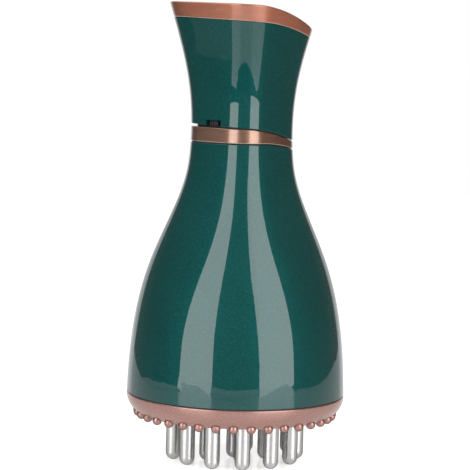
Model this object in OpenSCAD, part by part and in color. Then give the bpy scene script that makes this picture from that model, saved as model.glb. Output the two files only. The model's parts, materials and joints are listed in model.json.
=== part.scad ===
// Battery massage brush that stands on its steel contact pins.
// Heights are measured from the pin tips. The low side of the slanted rim points to +X.

/* [Contact pins] */
// Diameter of a contact pin
pin_d = 6.1; // [4.5:0.1:6.5]
// Length of a pin below its plate
pin_reach = 20; // [14:0.5:28]
// Pins in the outer circle
outer_pins = 13; // [8:1:13]
// Distance of the outer pin circle from the pin plate's edge
outer_pin_inset = 12.3; // [11:0.05:13]
// Turn of the outer pin circle from the front
outer_pin_turn = 4; // [0:0.5:27]
// Pins in the inner circle
inner_pins = 5; // [3:1:6]
// Radius of the inner pin circle
inner_pin_circle = 12.75; // [10:0.05:15]
// Turn of the inner pin circle from the front
inner_pin_turn = 9.5; // [0:0.5:71]
// Depth of the flat on each tip
tip_flat = 0.06; // [0.03:0.01:0.15]
// Diameter of a pin's shank inside the plate
shank_d = 4; // [3:0.1:4.2]
// Thickness of the riveted end of a shank
rivet_h = 0.6; // [0.4:0.1:1]

/* [Foot] */
// Thickness of the plate that carries the pins
plate_t = 3; // [2:0.1:4]
// Width of the base ring around the pin plate
ring_band = 6.4; // [5.6:0.1:7]
// How far the plate sits above the lower edge of the base ring
plate_recess = 0.8; // [0.4:0.1:1.4]
// Height of the base ring's visible face
ring_face_h = 8; // [7:0.1:10]
// Inward pull of the base ring's curved face, the curve's half axis
ring_curve_in = 8; // [4:0.1:8]
// Half axis of that curve along the height
ring_curve_h = 8.8; // [8.8:0.1:12]
// Height of the base ring's collar inside the body shell
collar_h = 3; // [2:0.1:5]
// Width of the ledge above the pin plate
ledge_w = 1.5; // [0.8:0.1:2]
// Beads around the base ring
beads = 36; // [24:1:44]
// Diameter of a bead
bead_d = 3.8; // [2.4:0.1:4]
// How far the middle of a bead sits below the base ring
bead_drop = 0.05; // [0:0.01:0.8]
// Distance of the bead circle from the body's edge
bead_inset = 4.6; // [3.5:0.1:5.2]
// Turn of the bead row from the front
bead_turn = -4.5; // [-5:0.5:5]
// Thickness of the seal under the body shell
seal_t = 0.35; // [0.25:0.05:0.8]
// Thickness of the aluminium heater plate
heater_t = 1.2; // [0.8:0.1:2]
// Thickness of the heater film
film_t = 0.5; // [0.3:0.1:0.8]
// Thickness of the insulating felt disc
felt_t = 2; // [1:0.1:2.6]

/* [Body outline] */
// Wall of the green shells and the rim
wall = 2.2; // [1.8:0.1:2.6]
// Half width of the body at its foot
foot_w = 44.2; // [43.2:0.1:48]
// Height from the foot up to the belly station
belly_step = 29.5; // [26:0.5:32]
// How far the belly is drawn in from the foot
belly_in = 2.5; // [1:0.05:4]
// Height from the belly up to the shoulder station
shoulder_step = 23; // [20:0.5:26]
// Half width at the shoulder station
shoulder_w = 35.9; // [33:0.1:38]
// Height from the shoulder up to the hip station
hip_step = 20; // [18:0.5:22]
// Half width at the hip station
hip_w = 27.55; // [26.5:0.05:29]
// Height from the hip up to the throat station
throat_step = 15; // [13:0.5:17]
// Half width at the throat station
throat_w = 22.2; // [21.8:0.1:24]
// Height from the throat up to the neck, the narrowest station
neck_step = 15; // [13:0.5:17]
// Half width at the neck, across the corners
neck_w = 20.5; // [20.1:0.05:22]
// Height from the neck up to the grip station
grip_step = 22; // [19:0.5:25]
// Half width at the grip station
grip_w = 21.8; // [21:0.1:24]
// Height from the grip up to the rim's high tip
tip_step = 32; // [29:0.5:35]
// Half width at the rim's high tip
tip_w = 30.1; // [29:0.1:33]
// Height above the foot where the round body starts to turn square
square_start = 22.5; // [15:0.5:30]
// Corner radius as a share of the half width, at the neck
neck_corner = 0.56; // [0.5:0.01:0.8]
// Corner radius as a share of the half width, at the rim
rim_corner = 0.46; // [0.42:0.01:0.8]
// Radius of the nearly flat sides as a share of the half width
side_bow = 4; // [3:0.1:8]

/* [Neck and rim] */
// How far the neck ring's lower edge sits below the neck station
ring_drop = 1; // [0:0.1:3]
// Height of the neck ring on the axis
ring_h = 5.5; // [4.5:0.1:7]
// Gap of a closed seam
seam = 0.45; // [0.2:0.05:0.6]
// Slope by which the seam above the ring opens towards the high side
seam_opening = 0.03; // [0:0.005:0.05]
// Height of the rim on the axis
rim_h = 6.6; // [5:0.1:8]
// How far the rim is lower on the axis than at its high tip
tip_lift = 0.6; // [0.6:0.05:1.2]
// Small bevel on the shells' edges
edge = 0.3; // [0.15:0.05:0.5]
// Bevel on the rim's upper edge
rim_edge = 0.8; // [0.3:0.1:1.2]
// Distance from the outer skin to the black neck core
core_inset = 2.5; // [2.5:0.05:2.8]
// Wall of the neck core
core_wall = 1.5; // [1.2:0.1:1.7]
// Length of the neck core below the ring
core_down = 9; // [6:0.5:12]
// Length of the neck core above the ring
core_up = 11; // [8:0.5:16]

/* [Slide switch] */
// Width of the notch for the knob
notch_w = 7.6; // [7.6:0.1:9]
// Height of the notch above the handle shell's lower edge
notch_h = 2.2; // [2.1:0.1:4]
// Width of the knob
knob_w = 4.2; // [3:0.1:4.4]
// Height of the knob
knob_h = 1.8; // [1.5:0.1:2]
// Travel of the knob each way
knob_travel = 1.5; // [0.8:0.1:1.5]
// Distance of the notch from the middle of its flat, towards the front corner
knob_shift = 0.5; // [0:0.1:2.6]

/* [Control panel] */
// Depth of the panel below the rim's upper edge
panel_recess = 1; // [0.6:0.1:1.6]
// Thickness of the panel
panel_t = 1.8; // [1.4:0.1:2.4]
// Wall of the panel's skirt
skirt_wall = 1.4; // [1:0.1:1.8]
// Length of the skirt below the rim
skirt_h = 5; // [3:0.5:8]
// Radius of the power button
power_r = 5; // [4:0.1:5.4]
// Radius of the small buttons
small_r = 3.4; // [3:0.1:3.6]
// Height of a button above the panel
button_proud = 0.8; // [0.7:0.1:1.5]
// Travel of a button
button_travel = 0.6; // [0.3:0.05:0.6]
// Distance of the plus and minus buttons from the middle
side_button_y = 11; // [10.8:0.1:12]
// Distance of the power button from the axis, towards the high side
power_x = 2; // [1.6:0.1:2.2]
// Distance of the heat button from the axis, towards the high side
heat_x = 12.5; // [12.3:0.1:13]
// Distance of the display lens from the axis, towards the high side
lens_x = 19.5; // [19:0.1:19.8]
// Length of the display lens
lens_l = 8.5; // [6:0.5:9]
// Width of the display lens
lens_w = 2.6; // [2:0.1:3]

/* [Motor] */
// Diameter of the motor
motor_d = 24; // [20:0.5:26]
// Length of the motor
motor_l = 26; // [22:0.5:28]
// Diameter of the motor shaft
shaft_d = 2.3; // [2:0.1:3]
// Radius of the eccentric weight
weight_r = 9; // [7:0.5:11]
// Thickness of the eccentric weight
weight_t = 8; // [5:0.5:9]

/* [Battery] */
// Diameter of the battery cell
cell_d = 18.3; // [16:0.1:18.5]
// Length of the battery cell
cell_l = 65; // [60:0.5:66]
// Wall of the battery cradle
cradle_wall = 1.5; // [1.2:0.1:1.6]

/* [Chassis and boards] */
// Thickness of the chassis flange and cross plate
chassis_t = 2.5; // [2:0.1:3.5]
// Height of the chassis uprights
upright_h = 42; // [41:0.5:46]
// Distance of an upright from the axis
upright_x = 17; // [16.2:0.1:19]
// Distance of the screw posts in the foot from the pin plate's edge
post_inset = 4.8; // [4.5:0.1:5]
// Thickness of the circuit boards
board_t = 1.6; // [1:0.1:2]
// Width of the driver board
board_w = 18; // [16:0.5:18.5]
// Length of the driver board
board_l = 33; // [31:0.5:34]
// Width of the charging socket
socket_w = 9; // [8.6:0.1:9.6]
// Height of the charging socket
socket_h = 3.3; // [3.1:0.1:3.8]
// Height of the charging socket above the hip station
socket_rise = 6; // [4:0.5:7]

/* [Hidden] */
$fn = 48;

// Finishes
green = [0.10, 0.31, 0.28];
rose_gold = [0.62, 0.38, 0.30];
rose = [0.66, 0.50, 0.47];
steel = [0.80, 0.80, 0.82];
brass = [0.80, 0.64, 0.32];
black = [0.08, 0.08, 0.09];
board_green = [0.05, 0.35, 0.18];
grey = [0.45, 0.46, 0.48];
ivory = [0.85, 0.83, 0.78];

// Clearances
fit = 0.2;           // between pieces that are pushed together
running = 0.03;      // around the turning shaft
thread_fit = 0.05;   // around a screw's thread
loose = 0.3;         // between faceted and round pieces
glue_line = 0.1;     // between the handle shell and the rim

// Faceting of the shells
around = 48;
lower_rows = 20;
upper_rows = 11;
lid_rings = 5;

// Heights of the foot's stack
plate_z = pin_reach;
plate_top = plate_z + plate_t;
ring_bottom = plate_z - plate_recess;
ring_top = ring_bottom + ring_face_h;
shell_z = ring_top + seal_t;
collar_top = ring_top + collar_h;
heater_top = plate_top + heater_t;
film_top = heater_top + film_t;

// Radii of the foot
ring_bore = foot_w - ring_band;
plate_r = ring_bore - fit;
bead_circle = foot_w - bead_inset;
outer_pin_circle = plate_r - outer_pin_inset;
post_circle = plate_r - post_inset;

// Stations of the outline: height and half width
belly_z = shell_z + belly_step;
shoulder_z = belly_z + shoulder_step;
hip_z = shoulder_z + hip_step;
throat_z = hip_z + throat_step;
neck_z = throat_z + neck_step;
grip_z = neck_z + grip_step;
tip_z = grip_z + tip_step;
stations = [
    [shell_z, foot_w],
    [belly_z, foot_w - belly_in],
    [shoulder_z, shoulder_w],
    [hip_z, hip_w],
    [throat_z, throat_w],
    [neck_z, neck_w],
    [grip_z, grip_w],
    [tip_z, tip_w]];
last = len(stations) - 1;
// Share of the first and last chord that the outline's ends follow
foot_follow = 0.35;
tip_follow = 1.15;

function chord(i) = (stations[i + 1][1] - stations[i][1]) / (stations[i + 1][0] - stations[i][0]);
function span(i) = stations[i + 1][0] - stations[i][0];
function slope(i) =
    i == 0 ? foot_follow * chord(0)
    : i == last ? tip_follow * chord(last - 1)
    : (chord(i - 1) * span(i) + chord(i) * span(i - 1)) / (span(i - 1) + span(i));
function curve(i, t) =
    (2 * t * t * t - 3 * t * t + 1) * stations[i][1]
    + (t * t * t - 2 * t * t + t) * span(i) * slope(i)
    + (3 * t * t - 2 * t * t * t) * stations[i + 1][1]
    + (t * t * t - t * t) * span(i) * slope(i + 1);
// Half width of the outer skin at a height, across the corners
function half_width(z, i = 0) =
    i < last - 1 && z > stations[i + 1][0] ? half_width(z, i + 1)
    : curve(i, (z - stations[i][0]) / span(i));

function clamped(t) = min(max(t, 0), 1);
function eased(t) = clamped(t) * clamped(t) * (3 - 2 * clamped(t));
// Nought where the section is a circle, one where it is a rounded square
function squareness(z) = eased((z - shell_z - square_start) / (neck_z - shell_z - square_start));
function corner_share(z) =
    neck_corner + (rim_corner - neck_corner) * clamped((z - neck_z) / (tip_z - neck_z));
function folded(dir) = let (part = dir - 90 * floor(dir / 90)) min(part, 90 - part);
// Distance along a ray to a circle whose centre is c along the line that the ray leaves at turn
function ray_hit(c, r, turn) = c * cos(turn) + sqrt(r * r - pow(c * sin(turn), 2));

// Radius of the section in one direction, at an inset from the outer skin
function section(dir, z, inset = 0) =
    let (w = half_width(z), s = squareness(z))
    s < 0.001 ? w - inset
    : let (
        corner = w * (1 - s * (1 - corner_share(z))),
        side = w * (1 + s * (side_bow - 1)),
        a = w - corner,
        q = (sqrt(4 * pow(side - corner, 2) - 2 * a * a) - sqrt(2) * a) / 2,
        turn = atan2(q / sqrt(2), a + q / sqrt(2)),
        meet = atan2((corner - inset) * sin(turn), a + (corner - inset) * cos(turn)),
        f = folded(dir))
    f < meet ? ray_hit(a, corner - inset, f) : ray_hit(-q, side - inset, 45 - f);
// Distance of a flat side from the axis
function flat_distance(z, inset = 0) = section(45, z, inset);

// Cuts across the shells: height on the axis, fall per mm, start and radius of the bend,
// and the rise per mm before the bend
ring_low_cut = [neck_z - ring_drop, 0, 7, 42, 0];
ring_top_cut = [ring_low_cut[0] + ring_h, 0.02, 0, 48, 0];
handle_low_cut = [ring_top_cut[0] + seam, 0.02, 0, 48, seam_opening];
rim_top_cut = [tip_z - tip_lift, 0.031, 2, 44, 0];
rim_low_cut = [rim_top_cut[0] - rim_h, 0.052, 6, 50, 0];
handle_top_cut = lowered(rim_low_cut, glue_line);
panel_tilt = atan(rim_top_cut[1]);

function flat_cut(z) = [z, 0, 0, 0, 0];
function lowered(cut, by) = [cut[0] - by, cut[1], cut[2], cut[3], cut[4]];
function level(cut, x) =
    let (past = min(max(x - cut[2], 0), 0.9 * cut[3]))
    cut[0] - cut[1] * x + cut[4] * max(cut[2] - x, 0)
    - (cut[3] - sqrt(cut[3] * cut[3] - past * past));
// Height at which a cut meets the skin in one direction
function cut_z(dir, cut, inset, z, n = 5) =
    n == 0 ? z : cut_z(dir, cut, inset, level(cut, section(dir, z, inset) * cos(dir)), n - 1);

function angle(j) = 360 * j / around;
// One loop of points, a share of the way from a lower to an upper cut
function loop(low, high, t, inset, up = 0) = [
    for (j = [0 : around - 1])
        let (
            dir = angle(j),
            z0 = cut_z(dir, low, inset, low[0]),
            z1 = cut_z(dir, high, inset, high[0]),
            z = z0 + (z1 - z0) * t + up,
            r = section(dir, z, inset))
        [r * cos(dir), r * sin(dir), z]];

// Closes a stack of loops into one skin, as a tube or between two end points
module stitch(loops, ends = []) {
    rows = len(loops);
    count = rows * around;
    points = concat([for (l = loops) for (p = l) p], ends);
    function at(i, j) = (i % rows) * around + j % around;
    last_row = len(ends) == 0 ? rows - 1 : rows - 2;
    sides = [
        for (i = [0 : last_row]) for (j = [0 : around - 1]) for (k = [0, 1])
            k == 0 ? [at(i, j), at(i + 1, j + 1), at(i, j + 1)]
            : [at(i, j), at(i + 1, j), at(i + 1, j + 1)]];
    first_fan = len(ends) == 0 ? [] : [for (j = [0 : around - 1]) [count, at(0, j), at(0, j + 1)]];
    last_fan = len(ends) == 0 ? []
        : [for (j = [0 : around - 1]) [at(rows - 1, j), count + 1, at(rows - 1, j + 1)]];
    polyhedron(points = points, faces = concat(sides, first_fan, last_fan), convexity = 6);
}

// Tube that follows the outer skin between two cuts, with bevelled outer edges
module sleeve(low, high, outer, inner, rows, low_edge, high_edge) {
    outside = concat(
        [loop(low, high, 0, outer + low_edge)],
        [for (i = [0 : rows])
            loop(low, high, i / rows, outer, low_edge * (1 - i / rows) - high_edge * i / rows)],
        [loop(low, high, 1, outer + high_edge)]);
    inside = [for (i = [rows : -1 : 0]) loop(low, high, i / rows, inner)];
    stitch(concat(outside, inside));
}

// Screw along -Z with its head's underside at the origin
module screw(d, length) {
    head_d = 1.8 * d;
    head_h = 0.62 * d;
    slot = 0.3 * d;
    difference() {
        union() {
            translate([0, 0, -length])
                cylinder(d = d, h = length + 0.1);
            cylinder(d = head_d, h = head_h);
        }
        for (turn = [0, 90])
            rotate([0, 0, turn])
                translate([-0.32 * head_d, -slot / 2, 0.45 * head_h])
                    cube([0.64 * head_d, slot, head_h]);
    }
}

// Thin wire along a chosen route
wire_sides = 8;
function unit(v) = v / norm(v);
function heading(path, i) = unit(path[min(i + 1, len(path) - 1)] - path[max(i - 1, 0)]);
module wire(path, d) {
    rings = len(path);
    points = [
        for (i = [0 : rings - 1])
            let (t = heading(path, i), a = unit(cross(t, [1, 0.2, 0])), b = cross(t, a))
            for (k = [0 : wire_sides - 1])
                path[i] + d / 2 * (a * cos(360 * k / wire_sides) + b * sin(360 * k / wire_sides))];
    sides = [
        for (i = [0 : rings - 2]) for (k = [0 : wire_sides - 1])
            let (next = (k + 1) % wire_sides)
            for (half = [0, 1])
                half == 0
                ? [i * wire_sides + k, (i + 1) * wire_sides + k, (i + 1) * wire_sides + next]
                : [i * wire_sides + k, (i + 1) * wire_sides + next, i * wire_sides + next]];
    first_end = [for (k = [0 : wire_sides - 1]) k];
    last_end = [for (k = [wire_sides - 1 : -1 : 0]) (rings - 1) * wire_sides + k];
    polyhedron(points = points, faces = concat(sides, [first_end, last_end]), convexity = 4);
}
// Route through a few chosen points, rounded by quarter points
function rounded(path) = concat(
    [path[0]],
    [for (i = [0 : len(path) - 2]) each [0.75 * path[i] + 0.25 * path[i + 1],
        0.25 * path[i] + 0.75 * path[i + 1]]],
    [path[len(path) - 1]]);

// Pin places, as angles from the front turned towards +X
pin_places = concat(
    [[0, 0]],
    [for (k = [0 : inner_pins - 1])
        let (a = inner_pin_turn + 360 * k / inner_pins)
        inner_pin_circle * [sin(a), -cos(a)]],
    [for (k = [0 : outer_pins - 1])
        let (a = outer_pin_turn + 360 * k / outer_pins)
        outer_pin_circle * [sin(a), -cos(a)]]);
rivet_r = shank_d / 2 + 0.8;
heater_r = outer_pin_circle + rivet_r + 0.75;
module at_pins() {
    for (p = pin_places)
        translate([p[0], p[1], 0])
            children();
}

// Screw posts in the foot
post_r = 3;
base_screw_d = 2.5;
module at_posts() {
    for (a = [45 : 90 : 315])
        rotate([0, 0, a])
            translate([post_circle, 0, 0])
                children();
}

// Lead openings in the foot
between_circles = (inner_pin_circle + outer_pin_circle) / 2;
lead_hole = [0, between_circles - 0.7];
lead_hole_r = 2;
thermistor_at = [-pin_d / 2, 0.4 - between_circles];
thermistor_r = 1;

// Heights of the chassis and what it carries
flange_top = collar_top + chassis_t;
cross_z = flange_top + upright_h;
cross_top = cross_z + chassis_t;
upright_t = 4;
upright_w = 12;
flange_opening = weight_r + 3;
bracket_t = 1.5;
motor_top = cross_z - bracket_t;
motor_bottom = motor_top - motor_l;
bush_h = 2;
weight_top = motor_bottom - bush_h - 2;
weight_z = weight_top - weight_t;
shaft_z = weight_z - 1;
cradle_floor = 1.5;
terminal_t = 0.4;
cell_z = cross_top + cradle_floor + terminal_t;
cell_top = cell_z + cell_l;
cradle_r = cell_d / 2 + loose;
cradle_h = 48;
core_post_r = 2.2;
core_post_x = cradle_r + cradle_wall + 0.65 + core_post_r;
core_screw_d = 2;
core_screw_bite = 6;
core_lug_t = 2;
core_low_z = ring_low_cut[0] - core_down;
core_high_z = ring_top_cut[0] + core_up;
core_lug_z = core_low_z + 2;

// Driver board behind the battery
standoff = 2.5;
board_y = cradle_r + cradle_wall + standoff;
board_z = cross_top + 2;
board_screw_d = 1.6;
standoff_places = [[-6, board_z + 6], [6, board_z + 20]];
socket_z = hip_z + socket_rise;
socket_back = board_y + board_t;
socket_front = half_width(socket_z) - 0.6;
socket_wall = 0.3;

// Slide switch in the front left flat
flat_turn = 225;
// Height of the knob's middle above that of the notch
knob_lift = -0.15;
knob_z = level(handle_low_cut, -flat_distance(handle_low_cut[0]) * sqrt(0.5))
    + notch_h / 2 + knob_lift;
core_face = flat_distance(knob_z, core_inset);
stem_w = 1.6;
stem_h = 1.2;
slot_w = stem_w + 2 * knob_travel + 0.4;
slot_h = stem_h + 0.4;
switch_face = core_face - core_wall - 0.4;
switch_depth = 3.2;
module on_flat() {
    rotate([0, 0, flat_turn])
        translate([0, knob_shift, knob_z])
            children();
}

// Depths under the panel, along its normal
flange_t = 0.8;
button_flange = 0.8;
button_gap = 0.1;
stem_r = 1.5;
switch_body_h = 3.4;
switch_top = panel_t + button_gap + flange_t + button_travel + 0.2;
control_top = switch_top + switch_body_h;
pillar_r = 2;
pillars = [[9.5, 8], [9.5, -8], [-11, 9.5], [-11, -9.5]];
panel_screw_d = 1.6;
panel_screw_bite = 3;
module on_panel() {
    translate([0, 0, rim_top_cut[0] - panel_recess])
        rotate([0, panel_tilt, 0])
            children();
}

// Body shell, a circle at the foot and a rounded square at the neck
module lower_shell() {
    color(green)
        difference() {
            sleeve(flat_cut(shell_z), lowered(ring_low_cut, seam), 0, wall, lower_rows, edge, edge);
            translate([-socket_w / 2 - fit, socket_front - 6, socket_z - socket_h / 2 - fit])
                cube([socket_w + 2 * fit, 10, socket_h + 2 * fit]);
        }
}

// Metal ring around the neck, tall on the high side and thin on the low side
module neck_ring() {
    color(rose_gold)
        sleeve(ring_low_cut, ring_top_cut, 0, core_inset - fit, 3, edge, edge);
}

// Handle shell with a notch for the slide knob
module upper_shell() {
    notch_top = notch_h / 2 - knob_lift;
    notch_under = notch_h + 2;
    color(green)
        difference() {
            sleeve(handle_low_cut, handle_top_cut, 0, wall, upper_rows, edge, 0.15);
            on_flat()
                translate([core_face - 3, -notch_w / 2, -notch_under])
                    cube([10, notch_w, notch_under + notch_top]);
        }
}

// Slanted metal rim around the control panel
module top_rim() {
    color(rose_gold)
        sleeve(rim_low_cut, rim_top_cut, 0, wall, 4, 0.15, rim_edge);
}

// Black sleeve inside the neck that joins both shells
module neck_core() {
    lug_w = 7;
    lug_end = section(0, core_lug_z, core_inset + core_wall) + core_wall / 2;
    color(black)
        difference() {
            union() {
                sleeve(flat_cut(core_low_z), flat_cut(core_high_z),
                    core_inset, core_inset + core_wall, 6, edge, edge);
                for (side = [0, 180])
                    rotate([0, 0, side])
                        translate([core_post_x - core_post_r, -lug_w / 2, core_lug_z])
                            cube([lug_end - core_post_x + core_post_r, lug_w, core_lug_t]);
            }
            for (side = [-1, 1])
                translate([side * core_post_x, 0, core_lug_z - 1])
                    cylinder(d = core_screw_d + 0.4, h = core_lug_t + 2);
            on_flat()
                translate([core_face - core_wall - 2, -slot_w / 2, -slot_h / 2])
                    cube([core_wall + 4, slot_w, slot_h]);
        }
}

// Knob in the notch, ribbed for a fingernail
module slide_knob() {
    face = core_face + 0.25;
    depth = core_inset - 0.6;
    rib = knob_w / 7;
    groove = 0.4;
    color(black)
        on_flat()
            difference() {
                union() {
                    translate([face, -knob_w / 2, -knob_h / 2])
                        cube([depth, knob_w, knob_h]);
                    translate([switch_face - 1.4, -stem_w / 2, -stem_h / 2])
                        cube([face - switch_face + 2, stem_w, stem_h]);
                }
                for (k = [-2 : 2 : 2])
                    translate([face + depth - groove, (k - 0.5) * rib, -knob_h])
                        cube([1, rib, 2 * knob_h]);
            }
}

// Switch body on the inside of the neck core
module slide_switch() {
    body_w = 8;
    body_h = 3.6;
    color(grey)
        on_flat()
            difference() {
                translate([switch_face - switch_depth, -body_w / 2, -body_h / 2])
                    cube([switch_depth, body_w, body_h]);
                translate([switch_face - 1.8, -slot_w / 2, -slot_h / 2])
                    cube([3, slot_w, slot_h]);
            }
}

// Base ring with a curved face, a ledge over the pin plate and a row of beads
function ring_face_r(z) =
    foot_w - ring_curve_in * (1 - sqrt(1 - pow((ring_top - z) / ring_curve_h, 2)));
module base_ring() {
    ledge = ring_bore - ledge_w;
    collar_r = foot_w - wall - 2 * fit;
    face_steps = 8;
    face = [for (i = [0 : face_steps])
        let (z = ring_bottom + (ring_top - ring_bottom) * i / face_steps)
        [ring_face_r(z), z]];
    color(rose) {
        rotate_extrude($fn = 96)
            polygon(concat([[ring_bore, ring_bottom]], face, [
                [collar_r, ring_top],
                [collar_r, collar_top],
                [ledge, collar_top],
                [ledge, plate_top],
                [ring_bore, plate_top]]));
        for (k = [0 : beads - 1])
            rotate([0, 0, 360 * k / beads + bead_turn - 90])
                translate([bead_circle, 0, ring_bottom - bead_drop])
                    sphere(d = bead_d, $fn = 24);
    }
}

// Seal that fills the seam above a cut, from just behind the skin to the neck core
seal_inset = 0.5;
seal_gap = 0.08;
module neck_seal(below) {
    sleeve(lowered(below, -seal_gap), lowered(below, seal_gap - seam),
        seal_inset, core_inset - fit, 1, 0.05, 0.05);
}

// Seals that show as dark lines: under the body shell, below the neck ring, and above the
// ring where that seam is closed, from seal_from to the low side
seal_from = -2;
module seam_gasket() {
    color(black) {
        translate([0, 0, ring_top])
            difference() {
                cylinder(r = foot_w - seal_t, h = seal_t, $fn = 96);
                translate([0, 0, -1])
                    cylinder(r = foot_w - wall, h = seal_t + 2, $fn = 96);
            }
        neck_seal(lowered(ring_low_cut, seam));
        intersection() {
            neck_seal(ring_top_cut);
            translate([seal_from, -tip_w, ring_low_cut[0] - ring_h])
                cube([2 * tip_w, 2 * tip_w, 3 * ring_h]);
        }
    }
}

// Steel pins, each with a round tip, a shank through the plates and a riveted end
module contact_pins() {
    r = pin_d / 2;
    tip_z = r - tip_flat;
    flat_r = sqrt(r * r - tip_z * tip_z);
    tip_steps = 8;
    tip = [for (i = [0 : tip_steps])
        let (a = asin(flat_r / r) + (90 - asin(flat_r / r)) * i / tip_steps)
        [r * sin(a), tip_z - r * cos(a)]];
    color(steel)
        at_pins()
            rotate_extrude($fn = 32)
                polygon(concat([[0, 0]], tip, [
                    [r, plate_z],
                    [shank_d / 2, plate_z],
                    [shank_d / 2, heater_top],
                    [rivet_r, heater_top],
                    [rivet_r, heater_top + rivet_h],
                    [0, heater_top + rivet_h]]));
}

// Plate that carries the pins, with four screw posts
module pin_plate() {
    color(rose)
        difference() {
            union() {
                translate([0, 0, plate_z])
                    cylinder(r = plate_r, h = plate_t, $fn = 96);
                at_posts()
                    translate([0, 0, plate_top - 0.5])
                        cylinder(r = post_r, h = collar_top - plate_top + 0.5);
            }
            at_pins()
                translate([0, 0, plate_z - 1])
                    cylinder(d = shank_d + 2 * thread_fit, h = plate_t + 2);
            at_posts()
                translate([0, 0, plate_top + 1])
                    cylinder(d = base_screw_d + 2 * thread_fit, h = collar_top - plate_top);
        }
}

// Aluminium plate that spreads the heat to the pins
module heater_plate() {
    color("silver")
        translate([0, 0, plate_top])
            difference() {
                cylinder(r = heater_r, h = heater_t, $fn = 96);
                at_pins()
                    translate([0, 0, -1])
                        cylinder(d = shank_d + 2 * thread_fit, h = heater_t + 2);
            }
}

// Disc around the riveted ends, with an opening for the thermistor
module clearance_disc(z, t, sensor_hole) {
    translate([0, 0, z])
        difference() {
            cylinder(r = heater_r, h = t, $fn = 96);
            at_pins()
                translate([0, 0, -1])
                    cylinder(r = rivet_r + fit, h = t + 2);
            if (sensor_hole > 0) {
                translate([thermistor_at[0], thermistor_at[1], -1])
                    cylinder(r = sensor_hole, h = t + 2);
                translate([lead_hole[0], lead_hole[1], -1])
                    cylinder(r = lead_hole_r, h = t + 2);
            }
        }
}

// Printed heater film on the aluminium plate
module heater_film() {
    color("orange")
        clearance_disc(heater_top, film_t, 0);
}

// Glass bead sensor on the film
module thermistor() {
    bead_h = 1.6;
    color(black)
        translate([thermistor_at[0], thermistor_at[1], film_top])
            cylinder(r = thermistor_r, h = bead_h);
}

// Felt that keeps the heat at the pins
module insulator_disc() {
    color(ivory)
        clearance_disc(film_top, felt_t, thermistor_r + 0.8);
}

// Plastic panel inside the rim, with a skirt, holes and screw pillars
function lid_ring(edge_loop, share, cut) =
    [for (p = edge_loop) [share * p[0], share * p[1], level(cut, share * p[0])]];
module control_panel() {
    outer = wall + fit;
    inner = outer + skirt_wall;
    top_cut = lowered(rim_top_cut, panel_recess);
    under_cut = lowered(top_cut, panel_t);
    skirt_cut = lowered(handle_top_cut, skirt_h);
    top_edge = loop(skirt_cut, top_cut, 1, outer);
    under_edge = loop(skirt_cut, under_cut, 1, inner);
    loops = concat(
        [for (i = [1 : lid_rings]) lid_ring(under_edge, i / lid_rings, under_cut)],
        [for (t = [0.5, 0]) loop(skirt_cut, under_cut, t, inner)],
        [for (t = [0, 0.5, 1]) loop(skirt_cut, top_cut, t, outer)],
        [for (i = [lid_rings - 1 : -1 : 1]) lid_ring(top_edge, i / lid_rings, top_cut)]);
    color(black)
        difference() {
            union() {
                stitch(loops, [[0, 0, level(under_cut, 0)], [0, 0, level(top_cut, 0)]]);
                on_panel()
                    for (p = pillars)
                        translate([p[0], p[1], -control_top])
                            cylinder(r = pillar_r, h = control_top - panel_t + 0.8, $fn = 24);
            }
            on_panel() {
                button_hole(-power_x, 0, power_r);
                button_hole(-power_x, side_button_y, small_r);
                button_hole(-power_x, -side_button_y, small_r);
                button_hole(-heat_x, 0, small_r);
                translate([-lens_x, 0, -panel_t - 1])
                    linear_extrude(panel_t + 2)
                        slot_shape(lens_l + 2 * fit, lens_w + 2 * fit);
                for (p = pillars)
                    translate([p[0], p[1], -control_top - 1])
                        cylinder(d = panel_screw_d + 2 * thread_fit, h = panel_screw_bite + 1.5, $fn = 24);
            }
        }
}
module button_hole(x, y, r) {
    translate([x, y, -panel_t - 1])
        cylinder(r = r + fit, h = panel_t + 2);
}
// Slot with round ends, long in Y
module slot_shape(length, width) {
    square([width, length - width], center = true);
    for (side = [-1, 1])
        translate([0, side * (length - width) / 2])
            circle(d = width);
}

// Clear bar over the display lights
module display_lens() {
    color([0.9, 0.95, 1, 0.5])
        on_panel()
            translate([-lens_x, 0, -panel_t - flange_t]) {
                linear_extrude(panel_t + flange_t)
                    slot_shape(lens_l, lens_w);
                linear_extrude(flange_t - button_gap)
                    slot_shape(lens_l + 1.2, lens_w + 1.2);
            }
}

// Button with a flange under the panel and a stem in its switch
module button(x, y, r) {
    on_panel()
        translate([x, y, 0])
            rotate_extrude()
                polygon([
                    [0, -switch_top - button_travel],
                    [stem_r, -switch_top - button_travel],
                    [stem_r, -panel_t - button_gap - flange_t],
                    [r + button_flange, -panel_t - button_gap - flange_t],
                    [r + button_flange, -panel_t - button_gap],
                    [r, -panel_t - button_gap],
                    [r, button_proud - 0.3],
                    [r - 0.3, button_proud],
                    [r - 0.9, button_proud],
                    [0, button_proud - 0.25]]);
}
module power_button() {
    color(rose_gold)
        button(-power_x, 0, power_r);
}
module plus_button() {
    color(grey)
        button(-power_x, side_button_y, small_r);
}
module minus_button() {
    color(grey)
        button(-power_x, -side_button_y, small_r);
}
module heat_button() {
    color(grey)
        button(-heat_x, 0, small_r);
}

// Board under the panel, cut short on the low side
control_side = 15;
module control_board() {
    ref_z = rim_top_cut[0] - panel_recess - control_top;
    inset = wall + skirt_wall + 4 * fit;
    color(board_green)
        on_panel()
            translate([0, 0, -control_top - board_t])
                difference() {
                    linear_extrude(board_t)
                        intersection() {
                            polygon([for (j = [0 : around - 1])
                                section(angle(j), ref_z - board_t, inset)
                                * [cos(angle(j)), sin(angle(j))]]);
                            translate([-40, -30])
                                square([40 + control_side, 60]);
                        }
                    for (p = pillars)
                        translate([p[0], p[1], -1])
                            cylinder(d = panel_screw_d + 0.3, h = board_t + 2, $fn = 24);
                }
}

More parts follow.
